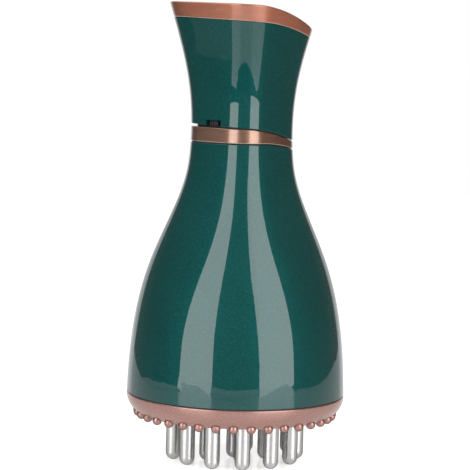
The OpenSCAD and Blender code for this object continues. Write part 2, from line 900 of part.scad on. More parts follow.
// Push switches under the buttons
module tactile_switches() {
    bore = stem_r + fit;
    side = 6;
    color(black)
        on_panel()
            for (p = [[-power_x, 0], [-power_x, side_button_y], [-power_x, -side_button_y],
                [-heat_x, 0]])
                translate([p[0], p[1], -control_top])
                    difference() {
                        translate([-side / 2, -side / 2, 0])
                            cube([side, side, switch_body_h]);
                        translate([0, 0, switch_body_h - 2 * button_travel - 0.4])
                            cylinder(r = bore, h = 3);
                    }
}

// Lights under the display lens
module display_leds() {
    side = 1.6;
    pitch = 2.5;
    color("white")
        on_panel()
            for (k = [-1 : 1])
                translate([-lens_x - side / 4, k * pitch - side / 2, -control_top])
                    cube([side, side, side / 2]);
}

// Screws that hold the control board to the panel
module panel_screws() {
    color(steel)
        on_panel()
            for (p = pillars)
                translate([p[0], p[1], -control_top - board_t])
                    rotate([180, 0, 0])
                        screw(panel_screw_d, board_t + panel_screw_bite);
}

// Frame that carries the motor, the battery and the neck core
module chassis() {
    flange_r = foot_w - wall - 4 * fit;
    gusset_h = 18;
    gusset_t = 1.8;
    screw_reach = core_screw_bite + core_screw_d;
    color(grey)
        difference() {
            union() {
                translate([0, 0, collar_top])
                    cylinder(r = flange_r, h = chassis_t, $fn = 96);
                for (side = [-1, 1])
                    translate([side * upright_x - upright_t / 2, -upright_w / 2, flange_top - 0.5])
                        cube([upright_t, upright_w, upright_h + 1]);
                translate([-upright_x - upright_t / 2, -upright_w, cross_z])
                    cube([2 * upright_x + upright_t, 2 * upright_w, chassis_t]);
                for (side = [-1, 1])
                    translate([side * core_post_x, 0, cross_top - 0.5])
                        cylinder(r = core_post_r, h = core_lug_z - cross_top + 0.5);
                for (turn = [0, 180])
                    rotate([90, 0, turn])
                        translate([0, 0, -gusset_t / 2])
                            linear_extrude(gusset_t)
                                polygon([
                                    [core_post_x, cross_top - 0.5],
                                    [upright_x + upright_t / 2, cross_top - 0.5],
                                    [upright_x + upright_t / 2, cross_top],
                                    [core_post_x, cross_top + gusset_h]]);
            }
            translate([0, 0, collar_top - 1])
                cylinder(r = flange_opening, h = chassis_t + 2);
            translate([lead_hole[0], lead_hole[1], collar_top - 1])
                cylinder(r = lead_hole_r + 0.5, h = chassis_t + 2);
            at_posts()
                translate([0, 0, collar_top - 1])
                    cylinder(d = base_screw_d + 0.4, h = chassis_t + 2);
            for (side = [-1, 1])
                translate([side * core_post_x, 0, core_lug_z - screw_reach])
                    cylinder(d = core_screw_d + 2 * thread_fit, h = screw_reach + 1);
            for (side = [-1, 1])
                translate([0, side * motor_screw_y, cross_z - 1])
                    cylinder(d = motor_screw_d + 2 * thread_fit, h = chassis_t + 2);
        }
}

// Screws from the chassis flange into the pin plate's posts
module base_screws() {
    color(steel)
        at_posts()
            translate([0, 0, flange_top])
                screw(base_screw_d, flange_top - plate_top - 0.8 * base_screw_d);
}

// Screws from the neck core's lugs into the chassis
module core_screws() {
    color(steel)
        for (side = [-1, 1])
            translate([side * core_post_x, 0, core_lug_z + core_lug_t])
                screw(core_screw_d, core_lug_t + core_screw_bite);
}

// Motor housing, bored for the shaft, with a seat for the bush
bush_r = 2.6;
module motor_can() {
    color(steel)
        difference() {
            translate([0, 0, motor_bottom])
                cylinder(d = motor_d, h = motor_l);
            translate([0, 0, motor_bottom - 1])
                cylinder(r = bush_r + fit, h = 3);
            translate([0, 0, motor_bottom])
                cylinder(d = shaft_d + 2 * loose, h = motor_l - 4);
        }
}

// Cup that hangs the motor from the cross plate
motor_screw_d = 2;
motor_screw_y = motor_d / 2 - 2;
module motor_bracket() {
    skirt = 0.54 * motor_l;
    cup_r = motor_d / 2 + fit;
    slot = motor_d / 3;
    color(steel)
        difference() {
            union() {
                translate([0, 0, motor_top])
                    cylinder(r = cup_r + bracket_t, h = bracket_t);
                translate([0, 0, motor_top - skirt])
                    difference() {
                        cylinder(r = cup_r + bracket_t, h = skirt + 0.1);
                        translate([0, 0, -1])
                            cylinder(r = cup_r, h = skirt + 1);
                    }
            }
            translate([-slot / 2, motor_d / 4, motor_top - skirt - 1])
                cube([slot, motor_d, skirt - 1]);
            for (side = [-1, 1])
                translate([0, side * motor_screw_y, motor_top - 1])
                    cylinder(d = motor_screw_d + 0.3, h = bracket_t + 2);
        }
}

// Screws from the cross plate into the bracket, their ends above the motor
module motor_screws() {
    color(steel)
        for (side = [-1, 1])
            translate([0, side * motor_screw_y, cross_top])
                screw(motor_screw_d, chassis_t + bracket_t - fit);
}

// Sintered bush under the motor
module motor_bush() {
    color(brass)
        translate([0, 0, motor_bottom - bush_h])
            difference() {
                union() {
                    cylinder(r = bush_r, h = bush_h + 1.8);
                    cylinder(r = bush_r + 1.4, h = bush_h);
                }
                translate([0, 0, -1])
                    cylinder(r = shaft_d / 2 + running, h = bush_h + 4);
            }
}

// Motor shaft, down through the bush
module motor_shaft() {
    color(steel)
        translate([0, 0, shaft_z])
            cylinder(d = shaft_d, h = motor_top - 5 - shaft_z);
}

// Half disc on the shaft whose spin shakes the brush
module eccentric_weight() {
    hub_r = shaft_d / 2 + 1.6;
    color(brass)
        translate([0, 0, weight_z])
            difference() {
                union() {
                    cylinder(r = hub_r, h = weight_t);
                    intersection() {
                        cylinder(r = weight_r, h = weight_t);
                        translate([-weight_r - 1, 0, -1])
                            cube([2 * weight_r + 2, weight_r + 1, weight_t + 2]);
                    }
                }
                translate([0, 0, -1])
                    cylinder(d = shaft_d + 0.02, h = weight_t + 2);
            }
}

// Rechargeable cell, upright in the neck
cell_button_r = 3.2;
module battery_cell() {
    groove = 1.7;
    color([0.20, 0.35, 0.60])
        translate([0, 0, cell_z])
            rotate_extrude()
                polygon([
                    [0, 0],
                    [cell_d / 2 - 0.5, 0],
                    [cell_d / 2, 0.5],
                    [cell_d / 2, cell_l - groove - 0.8],
                    [cell_d / 2 - 0.8, cell_l - groove],
                    [cell_button_r, cell_l - groove],
                    [cell_button_r, cell_l],
                    [0, cell_l]]);
}

// Open trough that holds the cell, with standoffs for the driver board
module battery_cradle() {
    outer = cradle_r + cradle_wall;
    color(black)
        difference() {
            union() {
                translate([0, 0, cross_top])
                    difference() {
                        cylinder(r = outer, h = cradle_h);
                        translate([0, 0, cradle_floor])
                            cylinder(r = cradle_r, h = cradle_h);
                        translate([-cradle_r + 1.5, -outer - 1, cradle_floor])
                            cube([2 * cradle_r - 3, outer - 1, cradle_h]);
                    }
                for (p = standoff_places)
                    translate([p[0], board_y, p[1]])
                        rotate([90, 0, 0])
                            cylinder(r = 1.8, h = board_y - sqrt(outer * outer - p[0] * p[0]) + 0.9);
            }
            for (p = standoff_places)
                translate([p[0], board_y + 1, p[1]])
                    rotate([90, 0, 0])
                        cylinder(d = board_screw_d + 2 * thread_fit, h = standoff + 1);
            for (side = [-1, 1])
                translate([0, side * motor_screw_y, cross_top - 1])
                    cylinder(r = 1.9, h = cradle_floor + 2);
        }
}

// Contact plates under and over the cell
module battery_terminals() {
    color(brass) {
        translate([0, 0, cell_z - terminal_t])
            cylinder(r = cell_button_r + 2 * terminal_t, h = terminal_t);
        translate([0, 0, cell_top])
            cylinder(r = cell_button_r - terminal_t, h = terminal_t);
    }
}

// Driver board on the cradle's standoffs
module driver_board() {
    color(board_green)
        difference() {
            translate([-board_w / 2, board_y, board_z])
                cube([board_w, board_t, board_l]);
            for (p = standoff_places)
                translate([p[0], board_y + board_t + 1, p[1]])
                    rotate([90, 0, 0])
                        cylinder(d = board_screw_d + 0.3, h = board_t + 2);
        }
}

// Chips, coil and capacitor on the driver board
module board_parts() {
    chip = 5;
    coil = 4;
    can_r = 2.2;
    low = board_z + 12;
    color(black)
        translate([0, board_y + board_t, low]) {
            translate([-chip / 2, 0, 0.7 * chip])
                cube([chip, 0.24 * chip, chip]);
            translate([-board_w / 2 + 1.5, 0, 0])
                cube([coil, 0.35 * coil, coil]);
            translate([board_w / 2 - 4, 0, 0])
                rotate([-90, 0, 0])
                    cylinder(r = can_r, h = 1.1 * can_r);
        }
}

// Screws of the driver board
module board_screws() {
    color(steel)
        for (p = standoff_places)
            translate([p[0], board_y + board_t, p[1]])
                rotate([-90, 0, 0])
                    screw(board_screw_d, board_t + standoff - loose);
}

// Charging socket on the driver board, open through the back of the body shell
module flat_slot(w, h) {
    square([w - h, h], center = true);
    for (side = [-1, 1])
        translate([side * (w - h) / 2, 0])
            circle(d = h);
}
module charge_socket() {
    length = socket_front - socket_back;
    mouth_depth = 6.5;
    color(steel)
        translate([0, socket_back, socket_z])
            rotate([-90, 0, 0]) {
                difference() {
                    linear_extrude(length)
                        flat_slot(socket_w, socket_h);
                    translate([0, 0, length - mouth_depth])
                        linear_extrude(mouth_depth + 1)
                            flat_slot(socket_w - 2 * socket_wall, socket_h - 2 * socket_wall);
                }
                translate([-3.3, -0.35, length - mouth_depth - 0.5])
                    cube([6.6, 0.7, mouth_depth - 0.5]);
            }
}

// Leads held between the pieces that they join
lead_d = 1.2;
module pair_of_leads(route, apart) {
    for (side = [-1, 1])
        wire(rounded([for (p = route) p + [side * apart / 2, 0, 0]]), lead_d);
}
module motor_leads() {
    start = motor_d / 2 + 0.15;
    end = board_y + board_t + 0.2;
    color("red")
        pair_of_leads([[0, start, motor_top - 5], [0, start + 3, motor_top - 5],
            [0, start + 5, motor_top + 1], [0, end + 1.5, cross_top],
            [0, end + 1.5, board_z + 3], [0, end, board_z + 3]], 3);
}
module battery_leads() {
    top = cell_top + terminal_t + 0.2;
    color("blue")
        wire(rounded([[0, 0, top], [0, 0, top + 2], [0, 8, top + 3], [0, 12.6, top - 2],
            [0, 12.6, core_lug_z], [0, board_y + 1, board_z + board_l + 3],
            [0, board_y + board_t / 2, board_z + board_l + 0.15]]), lead_d);
}
module heater_leads() {
    side_y = board_y + board_t + 4;
    color("white")
        pair_of_leads([[0, lead_hole[1], film_top + 0.15], [0, lead_hole[1], flange_top + 1],
            [0, side_y, flange_top + 12], [0, side_y, cross_top + 2],
            [0, side_y, board_z + 8], [0, side_y - 3.75, board_z + 9]], 1.6);
}
module panel_leads() {
    under = rim_top_cut[0] - panel_recess - control_top - board_t - 0.3;
    color("yellow")
        pair_of_leads([[5, board_y + board_t / 2, board_z + board_l + 0.15],
            [5, board_y - 0.5, core_low_z], [5, 12.2, core_lug_z + 5], [5, 12.2, core_high_z],
            [5, 9, core_high_z + 12], [5, 4, under - 8], [5, 4, under - 0.2]], 2);
}

lower_shell();
neck_ring();
upper_shell();
top_rim();
base_ring();
seam_gasket();
contact_pins();
pin_plate();
heater_plate();
heater_film();
thermistor();
insulator_disc();
neck_core();
slide_knob();
slide_switch();
control_panel();
display_lens();
power_button();
plus_button();
minus_button();
heat_button();
control_board();
tactile_switches();
display_leds();
panel_screws();
chassis();
base_screws();
core_screws();
motor_can();
motor_bracket();
motor_screws();
motor_bush();
motor_shaft();
eccentric_weight();
battery_cell();
battery_cradle();
battery_terminals();
driver_board();
board_parts();
board_screws();
charge_socket();
motor_leads();
battery_leads();
heater_leads();
panel_leads();
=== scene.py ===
# %% [markdown]
# # A massage brush, dressed piece by piece
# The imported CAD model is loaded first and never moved. It holds every screw, lead and board at its
# real place. This script then makes the pieces that show, smooth and finished, around it.

# %% Load the fixed frame
import json
import math
import bmesh
import bpy
import numpy as np
from mathutils import Matrix, Vector


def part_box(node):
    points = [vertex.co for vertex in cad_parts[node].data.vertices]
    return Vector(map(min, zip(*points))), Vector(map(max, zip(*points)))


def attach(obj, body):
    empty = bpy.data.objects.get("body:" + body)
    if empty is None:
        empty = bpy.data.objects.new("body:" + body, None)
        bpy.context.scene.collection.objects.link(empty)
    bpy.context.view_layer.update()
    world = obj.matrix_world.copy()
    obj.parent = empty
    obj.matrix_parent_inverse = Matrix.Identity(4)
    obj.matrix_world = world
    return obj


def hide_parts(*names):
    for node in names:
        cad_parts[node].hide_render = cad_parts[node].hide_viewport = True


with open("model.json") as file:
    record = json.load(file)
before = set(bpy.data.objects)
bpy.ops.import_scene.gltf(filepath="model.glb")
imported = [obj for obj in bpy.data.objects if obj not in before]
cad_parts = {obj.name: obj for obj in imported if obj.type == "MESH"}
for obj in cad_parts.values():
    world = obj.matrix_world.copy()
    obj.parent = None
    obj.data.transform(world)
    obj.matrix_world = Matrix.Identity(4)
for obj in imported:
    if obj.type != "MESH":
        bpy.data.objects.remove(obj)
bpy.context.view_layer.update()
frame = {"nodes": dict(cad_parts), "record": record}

# %% [markdown]
# ## The outline of the body
# A blow-moulded or injection-moulded vase has one long, fair curve. Eight stations (a height and a
# half width each) fix it, and a cubic spline whose bend changes without a jump runs through them.
# A jump in the bend would show as a kink in every reflection, so the slopes at the stations come
# from one small set of equations instead of from each neighbour alone.

# %% Outline: half width against height, in millimetres
MM = 0.001
foot_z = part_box("lower_shell")[0].z / MM
foot_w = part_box("lower_shell")[1].x / MM
steps = [29.5, 23, 20, 15, 15, 22, 32]
belly_in = 2.5
half_widths = np.array([foot_w, foot_w - belly_in, 35.9, 27.55, 22.2, 20.5, 21.8, 30.1])
heights = foot_z + np.concatenate([[0], np.cumsum(steps)])
neck_z, tip_z = heights[5], heights[7]
foot_follow, tip_follow = 0.35, 1.15


def fair_slopes(z, w):
    chord = np.diff(w) / np.diff(z)
    part = 1 / np.diff(z)
    n = len(z)
    rows, right = np.eye(n), np.zeros(n)
    right[0], right[-1] = foot_follow * chord[0], tip_follow * chord[-1]
    for i in range(1, n - 1):
        rows[i, i - 1 : i + 2] = part[i - 1], 2 * (part[i - 1] + part[i]), part[i]
        right[i] = 3 * (chord[i - 1] * part[i - 1] + chord[i] * part[i])
    return np.linalg.solve(rows, right)


slopes = fair_slopes(heights, half_widths)


def half_width(z):
    z = np.asarray(z, float)
    i = np.clip(np.searchsorted(heights, z) - 1, 0, len(heights) - 2)
    span = heights[i + 1] - heights[i]
    t = (z - heights[i]) / span
    return (
        (2 * t**3 - 3 * t**2 + 1) * half_widths[i]
        + (t**3 - 2 * t**2 + t) * span * slopes[i]
        + (3 * t**2 - 2 * t**3) * half_widths[i + 1]
        + (t**3 - t**2) * span * slopes[i + 1]
    )


print("narrowest", round(float(half_width(neck_z)), 2), "at", round(float(neck_z), 2), "mm")

# %% [markdown]
# ## The section: a circle that turns into a rounded square
# At the foot the body is round. Towards the neck it becomes a square with soft corners, one of
# which points at the viewer. Each quarter is a corner arc and a long, nearly flat side arc that meet
# without a kink. `section` gives the distance from the axis in any direction at any height.

# %% Section of the body
square_start = 22.5
neck_corner, rim_corner, side_bow = 0.56, 0.46, 4


def squareness(z):
    t = np.clip((z - foot_z - square_start) / (neck_z - foot_z - square_start), 0, 1)
    return t * t * (3 - 2 * t)


def ray_hit(c, r, turn):
    return c * np.cos(turn) + np.sqrt(np.maximum(r * r - (c * np.sin(turn)) ** 2, 0))


def section(turn, z, inset=0.0):
    w, s = half_width(z), np.maximum(squareness(z), 1e-4)
    grow = np.clip((z - neck_z) / (tip_z - neck_z), 0, 1)
    corner = w * (1 - s * (1 - neck_corner - (rim_corner - neck_corner) * grow))
    side = w * (1 + s * (side_bow - 1))
    a = w - corner
    q = (np.sqrt(4 * (side - corner) ** 2 - 2 * a * a) - math.sqrt(2) * a) / 2
    lean = np.arctan2(q / math.sqrt(2), a + q / math.sqrt(2))
    meet = np.arctan2((corner - inset) * np.sin(lean), a + (corner - inset) * np.cos(lean))
    part = np.mod(turn, math.pi / 2)
    folded = np.minimum(part, math.pi / 2 - part)
    at_corner = ray_hit(a, corner - inset, folded)
    at_side = ray_hit(-q, side - inset, math.pi / 4 - folded)
    return np.where(folded < meet, at_corner, at_side)


# %% [markdown]
# ## The swooping cuts
# The neck ring and the rim are cut off by surfaces that run nearly level from the high side, then
# bend down in an arc towards the low side. Each cut has a height on the axis, a gentle fall, the
# place where its bend starts and the radius of the bend, which ends at a share of that radius.

# %% Cuts across the body
seam, glue_line, ring_h, rim_h = 0.45, 0.1, 5.5, 6.6
ring_drop, tip_lift = 1.0, 0.6
bend_end = 0.9


def cut(height, fall=0.0, bend_start=0.0, bend_radius=50.0, opening=0.0):
    return {"z": height, "fall": fall, "start": bend_start, "r": bend_radius, "open": opening}


def lowered(c, by):
    return dict(c, z=c["z"] - by)


def flat_cut(height):
    return cut(height, bend_radius=None)


ring_low = cut(neck_z - ring_drop, 0, 7, 42)
ring_top = cut(ring_low["z"] + ring_h, 0.02, 0, 48)
handle_low = cut(ring_top["z"] + seam, 0.02, 0, 48, 0.03)
rim_top = cut(tip_z - tip_lift, 0.031, 2, 44)
rim_low = cut(rim_top["z"] - rim_h, 0.052, 6, 50)
handle_top = lowered(rim_low, glue_line)


def level(c, x):
    if c["r"] is None:
        return c["z"] + 0 * x
    past = np.clip(x - c["start"], 0, bend_end * c["r"])
    bend = c["r"] - np.sqrt(c["r"] ** 2 - past**2)
    return c["z"] - c["fall"] * x + c["open"] * np.maximum(c["start"] - x, 0) - bend


def cut_height(turn, c, inset):
    z = np.full_like(turn, c["z"])
    for _ in range(8):
        z = level(c, section(turn, z, inset) * np.cos(turn))
    return z


print("high tip", round(float(cut_height(np.array([math.pi]), rim_top, 0)[0]), 2), "mm")

# %% [markdown]
# ## From loops of points to a closed mesh
# Every shell here is a stack of loops: up the outside, over a small round edge, down the inside and
# back to the start. `stitch` joins neighbouring loops with quads. A lathe does the same for round
# pieces, from an outline of (radius, height) points.

# %% Mesh helpers
turns = np.linspace(0, 2 * math.pi, 192, endpoint=False)
crease, edge_steps, inner_rows = 32, 5, 12


def new_object(name, verts, faces):
    mesh = bpy.data.meshes.new(name)
    mesh.from_pydata([tuple(MM * float(c) for c in v) for v in verts], [], faces)
    mesh.update()
    obj = bpy.data.objects.new(name, mesh)
    bpy.context.scene.collection.objects.link(obj)
    return obj


def smooth(obj, sharp=crease):
    obj.data.shade_smooth()
    obj.data.set_sharp_from_angle(angle=math.radians(sharp))
    return obj


def tidy_mesh(obj, sharp=crease):
    edit = bmesh.new()
    edit.from_mesh(obj.data)
    bmesh.ops.remove_doubles(edit, verts=edit.verts, dist=1e-7)
    bmesh.ops.recalc_face_normals(edit, faces=edit.faces)
    edit.to_mesh(obj.data)
    edit.free()
    return smooth(obj, sharp)


def bake(obj):
    """Keeps what the modifiers make as a plain mesh."""
    bpy.context.view_layer.update()
    seen = obj.evaluated_get(bpy.context.evaluated_depsgraph_get())
    mesh = bpy.data.meshes.new_from_object(seen)
    obj.modifiers.clear()
    obj.data = mesh
    return obj


def stitch(name, loops, ends=(), sharp=crease):
    count, rows = len(loops[0]), len(loops)
    verts = [p for ring in loops for p in ring] + list(ends)
    faces = []
    for i in range(rows if not ends else rows - 1):
        low, high = i * count, (i + 1) % rows * count
        faces += [
            (low + j, low + (j + 1) % count, high + (j + 1) % count, high + j) for j in range(count)
        ]
    if ends:
        last = (rows - 1) * count
        faces += [(rows * count, (j + 1) % count, j) for j in range(count)]
        faces += [(rows * count + 1, last + j, last + (j + 1) % count) for j in range(count)]
    return tidy_mesh(new_object(name, verts, faces), sharp)


def lathe(name, outline, count=96, sharp=crease):
    """Spins an outline of (radius, height); an outline that ends on the axis gets closed poles."""
    spokes = [2 * math.pi * k / count for k in range(count)]
    on_axis = outline[0][0] == 0
    body = outline[1:-1] if on_axis else outline
    loops = [[(r * math.cos(t), r * math.sin(t), z) for t in spokes] for r, z in body]
    ends = [(0, 0, outline[0][1]), (0, 0, outline[-1][1])] if on_axis else ()
    return stitch(name, loops, ends, sharp)


def rounded(points, radius, steps):
    """The closed outline with each corner turned into an arc."""
    made = []
    for i, p in enumerate(points):
        here = Vector(p)
        back = (Vector(points[i - 1]) - here).normalized()
        on = (Vector(points[(i + 1) % len(points)]) - here).normalized()
        half = back.angle(on) / 2
        reach = radius / math.tan(half)
        middle = here + (back + on).normalized() * (radius / math.sin(half))
        first, last = here + back * reach - middle, here + on * reach - middle
        sweep = first.angle_signed(last)
        for k in range(steps + 1):
            made.append(tuple(middle + Matrix.Rotation(-sweep * k / steps, 2) @ first))
    return made


def quarter(x, z, wide, tall, bends):
    """Points round a corner whose two sides would meet at (x, z)."""
    return [(x - wide * (1 - math.cos(a)), z - tall * (1 - math.sin(a))) for a in bends]


def round_bar(name, length, width, rows):
    """A bar with round ends, long in Y, from rows of (inset, height)."""
    r = width / 2
    corners = [(-r, -length / 2), (r, -length / 2), (r, length / 2), (-r, length / 2)]
    flat, loops = rounded(corners, 0.98 * r, 8), []
    for inset, z in rows:
        across, along = 1 - inset / r, 1 - 2 * inset / length
        loops.append([(x * across, y * along, z) for x, y in flat])
    return stitch(name, loops, [(0, 0, rows[0][1]), (0, 0, rows[-1][1])])


def skin_loop(low, high, t, inset, up=0.0):
    """A loop on the outline, at a share t of the way between two cuts."""
    z0, z1 = cut_height(turns, low, inset), cut_height(turns, high, inset)
    z = z0 + (z1 - z0) * t + up
    r = section(turns, z, inset)
    return np.stack([r * np.cos(turns), r * np.sin(turns), z], axis=1)


def sleeve(name, low, high, wall, rows, low_round, high_round, inset=0.0):
    bends = [math.pi / 2 * k / edge_steps for k in range(edge_steps + 1)]
    path = [(0, low_round * (1 - math.sin(a)), low_round * (1 - math.cos(a))) for a in bends[:-1]]
    for i in range(rows + 1):
        t = i / rows
        path.append((t, 0, low_round * (1 - t) - high_round * t))
    path += [(1, high_round * (1 - math.cos(a)), -high_round * (1 - math.sin(a))) for a in bends[1:]]
    path += [(i / inner_rows, wall, 0) for i in range(inner_rows, -1, -1)]
    return stitch(name, [skin_loop(low, high, t, inset + back, up) for t, back, up in path])


def cut_away(obj, *cutters):
    """Cuts the cutters out of obj and deletes them."""
    for cutter in cutters:
        change = obj.modifiers.new("Cut", "BOOLEAN")
        change.operation, change.solver, change.object = "DIFFERENCE", "EXACT", cutter
    bake(obj)
    for cutter in cutters:
        bpy.data.objects.remove(cutter)
    return smooth(obj)


skin_reach, above_tip, same_way = 0.02, 0.5, 0.97


def skin_normals(obj):
    """Gives the outer skin the exact normals of the outline, so that a cut leaves no dent in it."""
    mesh = obj.data
    x, y, z = np.array([v.co for v in mesh.vertices]).T / MM
    turn, r = np.arctan2(y, x), np.hypot(x, y)
    z_in = np.clip(z, foot_z, tip_z + above_tip)
    on_skin = np.abs(section(turn, z_in) - r) < skin_reach
    c, s = np.cos(turn), np.sin(turn)
    sideways = (section(turn + 1e-3, z_in) - section(turn - 1e-3, z_in)) / 2e-3 / r
    upwards = (section(turn, z_in + 0.01) - section(turn, z_in - 0.01)) / 0.02
    normal = np.stack([c + s * sideways, s - c * sideways, -upwards], 1)
    normal /= np.linalg.norm(normal, axis=1, keepdims=True)
    wanted = []
    for face in mesh.polygons:
        for v in face.vertices:
            fits = on_skin[v] and face.normal.dot(Vector(normal[v])) > same_way
            wanted.append(tuple(normal[v]) if fits else (0, 0, 0))
    mesh.normals_split_custom_set(wanted)


# %% [markdown]
# ## Node helpers for the finishes
# Each finish is a small network that ends in one Principled shader. Patterns read Object
# coordinates, which are the real metres of the part, so a fleck or a brush line keeps its size.

# %% Node helpers
def put(tree, kind, values=None, **settings):
    """A node; a value that is another node's output is linked, and any other is typed in."""
    made = tree.nodes.new(kind)
    for key, value in settings.items():
        setattr(made, key, value)
    for key, value in (values or {}).items():
        if isinstance(value, bpy.types.NodeSocket):
            tree.links.new(value, made.inputs[key])
        else:
            made.inputs[key].default_value = value
    return made


def calc(tree, operation, a, b):
    return put(tree, "ShaderNodeMath", {0: a, 1: b}, operation=operation).outputs[0]


def vector(tree, operation, a, b=(0, 0, 0)):
    return put(tree, "ShaderNodeVectorMath", {0: a, 1: b}, operation=operation).outputs[0]


def tint(rgb):
    """A colour as written in an image editor, 0 to 255, turned into the shader's linear values."""
    linear = [c / 255 / 12.92 if c <= 10 else ((c / 255 + 0.055) / 1.055) ** 2.4 for c in rgb]
    return (*linear, 1.0)


def new_finish(name, **values):
    material = bpy.data.materials.new(name)
    material.use_nodes = True
    tree = material.node_tree
    shader = tree.nodes["Principled BSDF"]
    for key, value in values.items():
        shader.inputs[key.replace("_", " ").title().replace("Ior", "IOR")].default_value = value
    place = tree.nodes.new("ShaderNodeTexCoord").outputs["Object"]
    return material, tree, shader, place


def feed(tree, shader, **results):
    """Links results to the shader; Base_Color stands for its socket Base Color."""
    for key, result in results.items():
        tree.links.new(result, shader.inputs[key.replace("_", " ")])


def noise(tree, place, scale, detail=2.0, rough=0.5):
    values = {"Vector": place, "Scale": scale, "Detail": detail, "Roughness": rough}
    return put(tree, "ShaderNodeTexNoise", values).outputs["Fac"]


def drawn_out(tree, place, scale):
    return put(tree, "ShaderNodeMapping", {"Vector": place, "Scale": scale}).outputs[0]


def blend_colours(tree, factor, first, second):
    """The Mix node keeps its colours in the sockets 6 and 7, and the blended one in output 2."""
    return put(tree, "ShaderNodeMix", {0: factor, 6: first, 7: second}, data_type="RGBA").outputs[2]


def spread(tree, value, low, high, to_low=0.0, to_high=1.0):
    span = {"From Min": low, "From Max": high, "To Min": to_low, "To Max": to_high}
    return put(tree, "ShaderNodeMapRange", {"Value": value, **span}).outputs["Result"]


def bump(tree, height, strength, distance):
    values = {"Height": height, "Strength": strength, "Distance": distance}
    return put(tree, "ShaderNodeBump", values).outputs["Normal"]


def two_tones(tree, factor, colour, down, up, lift=0.0):
    """A colour that drifts between a darker and a lighter tone of itself."""
    dark = (*[c * down for c in colour[:3]], 1.0)
    light = (*[min(1.0, c * up + lift) for c in colour[:3]], 1.0)
    return blend_colours(tree, spread(tree, factor, 0.3, 0.7), dark, light)


# %% [markdown]
# ## Green lacquer
# The shells are sprayed with a deep green that holds fine metal flakes, then with a thick clear
# coat. The flakes are small cells with their own tilt and brightness in the layer below. The clear
# coat on top stays smooth, so it mirrors the lamps with crisp edges.

# %% Finish: green lacquer
flakes_per_metre, flake_lean, brightest_flakes = 4200.0, 0.1, 0.6
deep_green, mid_green, flake_green = tint((8, 61, 60)), tint((11, 65, 63)), tint((17, 80, 77))
clear_coat = {"coat_weight": 1.0, "coat_roughness": 0.04}


def green_lacquer():
    material, tree, shader, place = new_finish(
        "green_lacquer", metallic=0.42, roughness=0.5, specular_ior_level=0.0, coat_weight=1.0,
        coat_roughness=0.02,
    )
    flakes = put(tree, "ShaderNodeTexVoronoi", {"Vector": place, "Scale": flakes_per_metre}, feature="F1")
    cell = put(tree, "ShaderNodeSeparateColor", {"Color": flakes.outputs["Color"]})
    bright = spread(tree, cell.outputs["Red"], brightest_flakes, 1.0)
    cloud = spread(tree, noise(tree, place, 55.0, 3.0), 0.3, 0.7)
    deep = blend_colours(tree, cloud, deep_green, mid_green)
    tilt = vector(tree, "SUBTRACT", flakes.outputs["Color"], (0.5,) * 3)
    small = vector(tree, "MULTIPLY", tilt, (flake_lean,) * 3)
    leaning = vector(tree, "ADD", put(tree, "ShaderNodeNewGeometry").outputs["Normal"], small)
    feed(
        tree, shader,
        Base_Color=blend_colours(tree, bright, deep, flake_green),
        Normal=vector(tree, "NORMALIZE", leaning),
        Coat_Normal=bump(tree, noise(tree, place, 260.0, 1.0), 0.02, 0.0004),
    )
    return material


# %% [markdown]
# ## Brushed rose gold
# The rim and the neck ring are turned against a fine abrasive, which leaves hair-thin lines that run
# around the piece. The lines are a noise that is squeezed along the height, so that it is drawn out
# around the axis without a seam. They change the colour, the gloss and the bump. The tangent runs
# around the axis too, which spreads a highlight up and down, across the lines. A clear coat over
# the brushed metal adds the crisp, pale reflection of the table and the lamps.

# %% Finish: brushed metal around the axis
line_along, line_across, line_depth, quarter_turn = 110.0, 5200.0, 0.00002, 0.25


def brushed_metal(name, dark, light, roughness, **values):
    material, tree, shader, place = new_finish(name, metallic=1.0, **values)
    lines = noise(tree, drawn_out(tree, place, (line_along, line_along, line_across)), 1.0, 3.0, 0.6)
    gloss = calc(tree, "MULTIPLY", lines, noise(tree, place, 90.0, 2.0))
    feed(
        tree, shader,
        Base_Color=blend_colours(tree, spread(tree, lines, 0.3, 0.7), tint(dark), tint(light)),
        Roughness=spread(tree, gloss, 0.1, 0.5, roughness * 0.8, roughness * 1.25),
        Normal=bump(tree, lines, 0.8, line_depth),
        Tangent=vector(tree, "CROSS_PRODUCT", (0, 0, 1), place),
    )
    shader.inputs["Anisotropic Rotation"].default_value = quarter_turn
    return material


# %% [markdown]
# ## The other finishes
# Satin paint, polished steel, moulded plastic, rubber, felt, circuit board and wire each repeat a
# few ideas: a base colour that drifts a little, a roughness that is never even, and a fine bump at
# the scale of the real grain.

# %% Finish: painted, moulded and woven surfaces
def moulded(name, rgb, roughness, drift=0.12, grain=1800.0, depth=0.00001, **values):
    material, tree, shader, place = new_finish(name, **values)
    cloud, fine = noise(tree, place, 70.0, 4.0), noise(tree, place, grain, 2.0)
    feed(
        tree, shader,
        Base_Color=two_tones(tree, cloud, tint(rgb), 1 - drift, 1 + drift, 0.004),
        Roughness=spread(tree, fine, 0.3, 0.7, roughness * 0.9, min(1.0, roughness * 1.12)),
        Normal=bump(tree, fine, 0.3, depth),
    )
    return material


def worn_metal(name, colour, roughness, stretch=(1.0, 1.0, 1.0), **values):
    material, tree, shader, place = new_finish(name, metallic=1.0, **values)
    drawn = drawn_out(tree, place, stretch)
    lines, smudge = noise(tree, drawn, 900.0, 3.0), noise(tree, drawn, 120.0, 3.0)
    feed(
        tree, shader,
        Base_Color=two_tones(tree, lines, colour, 0.9, 1.05),
        Roughness=spread(tree, smudge, 0.3, 0.75, roughness * 0.75, roughness * 1.4),
        Normal=bump(tree, lines, 0.15, 0.000003),
    )
    return material


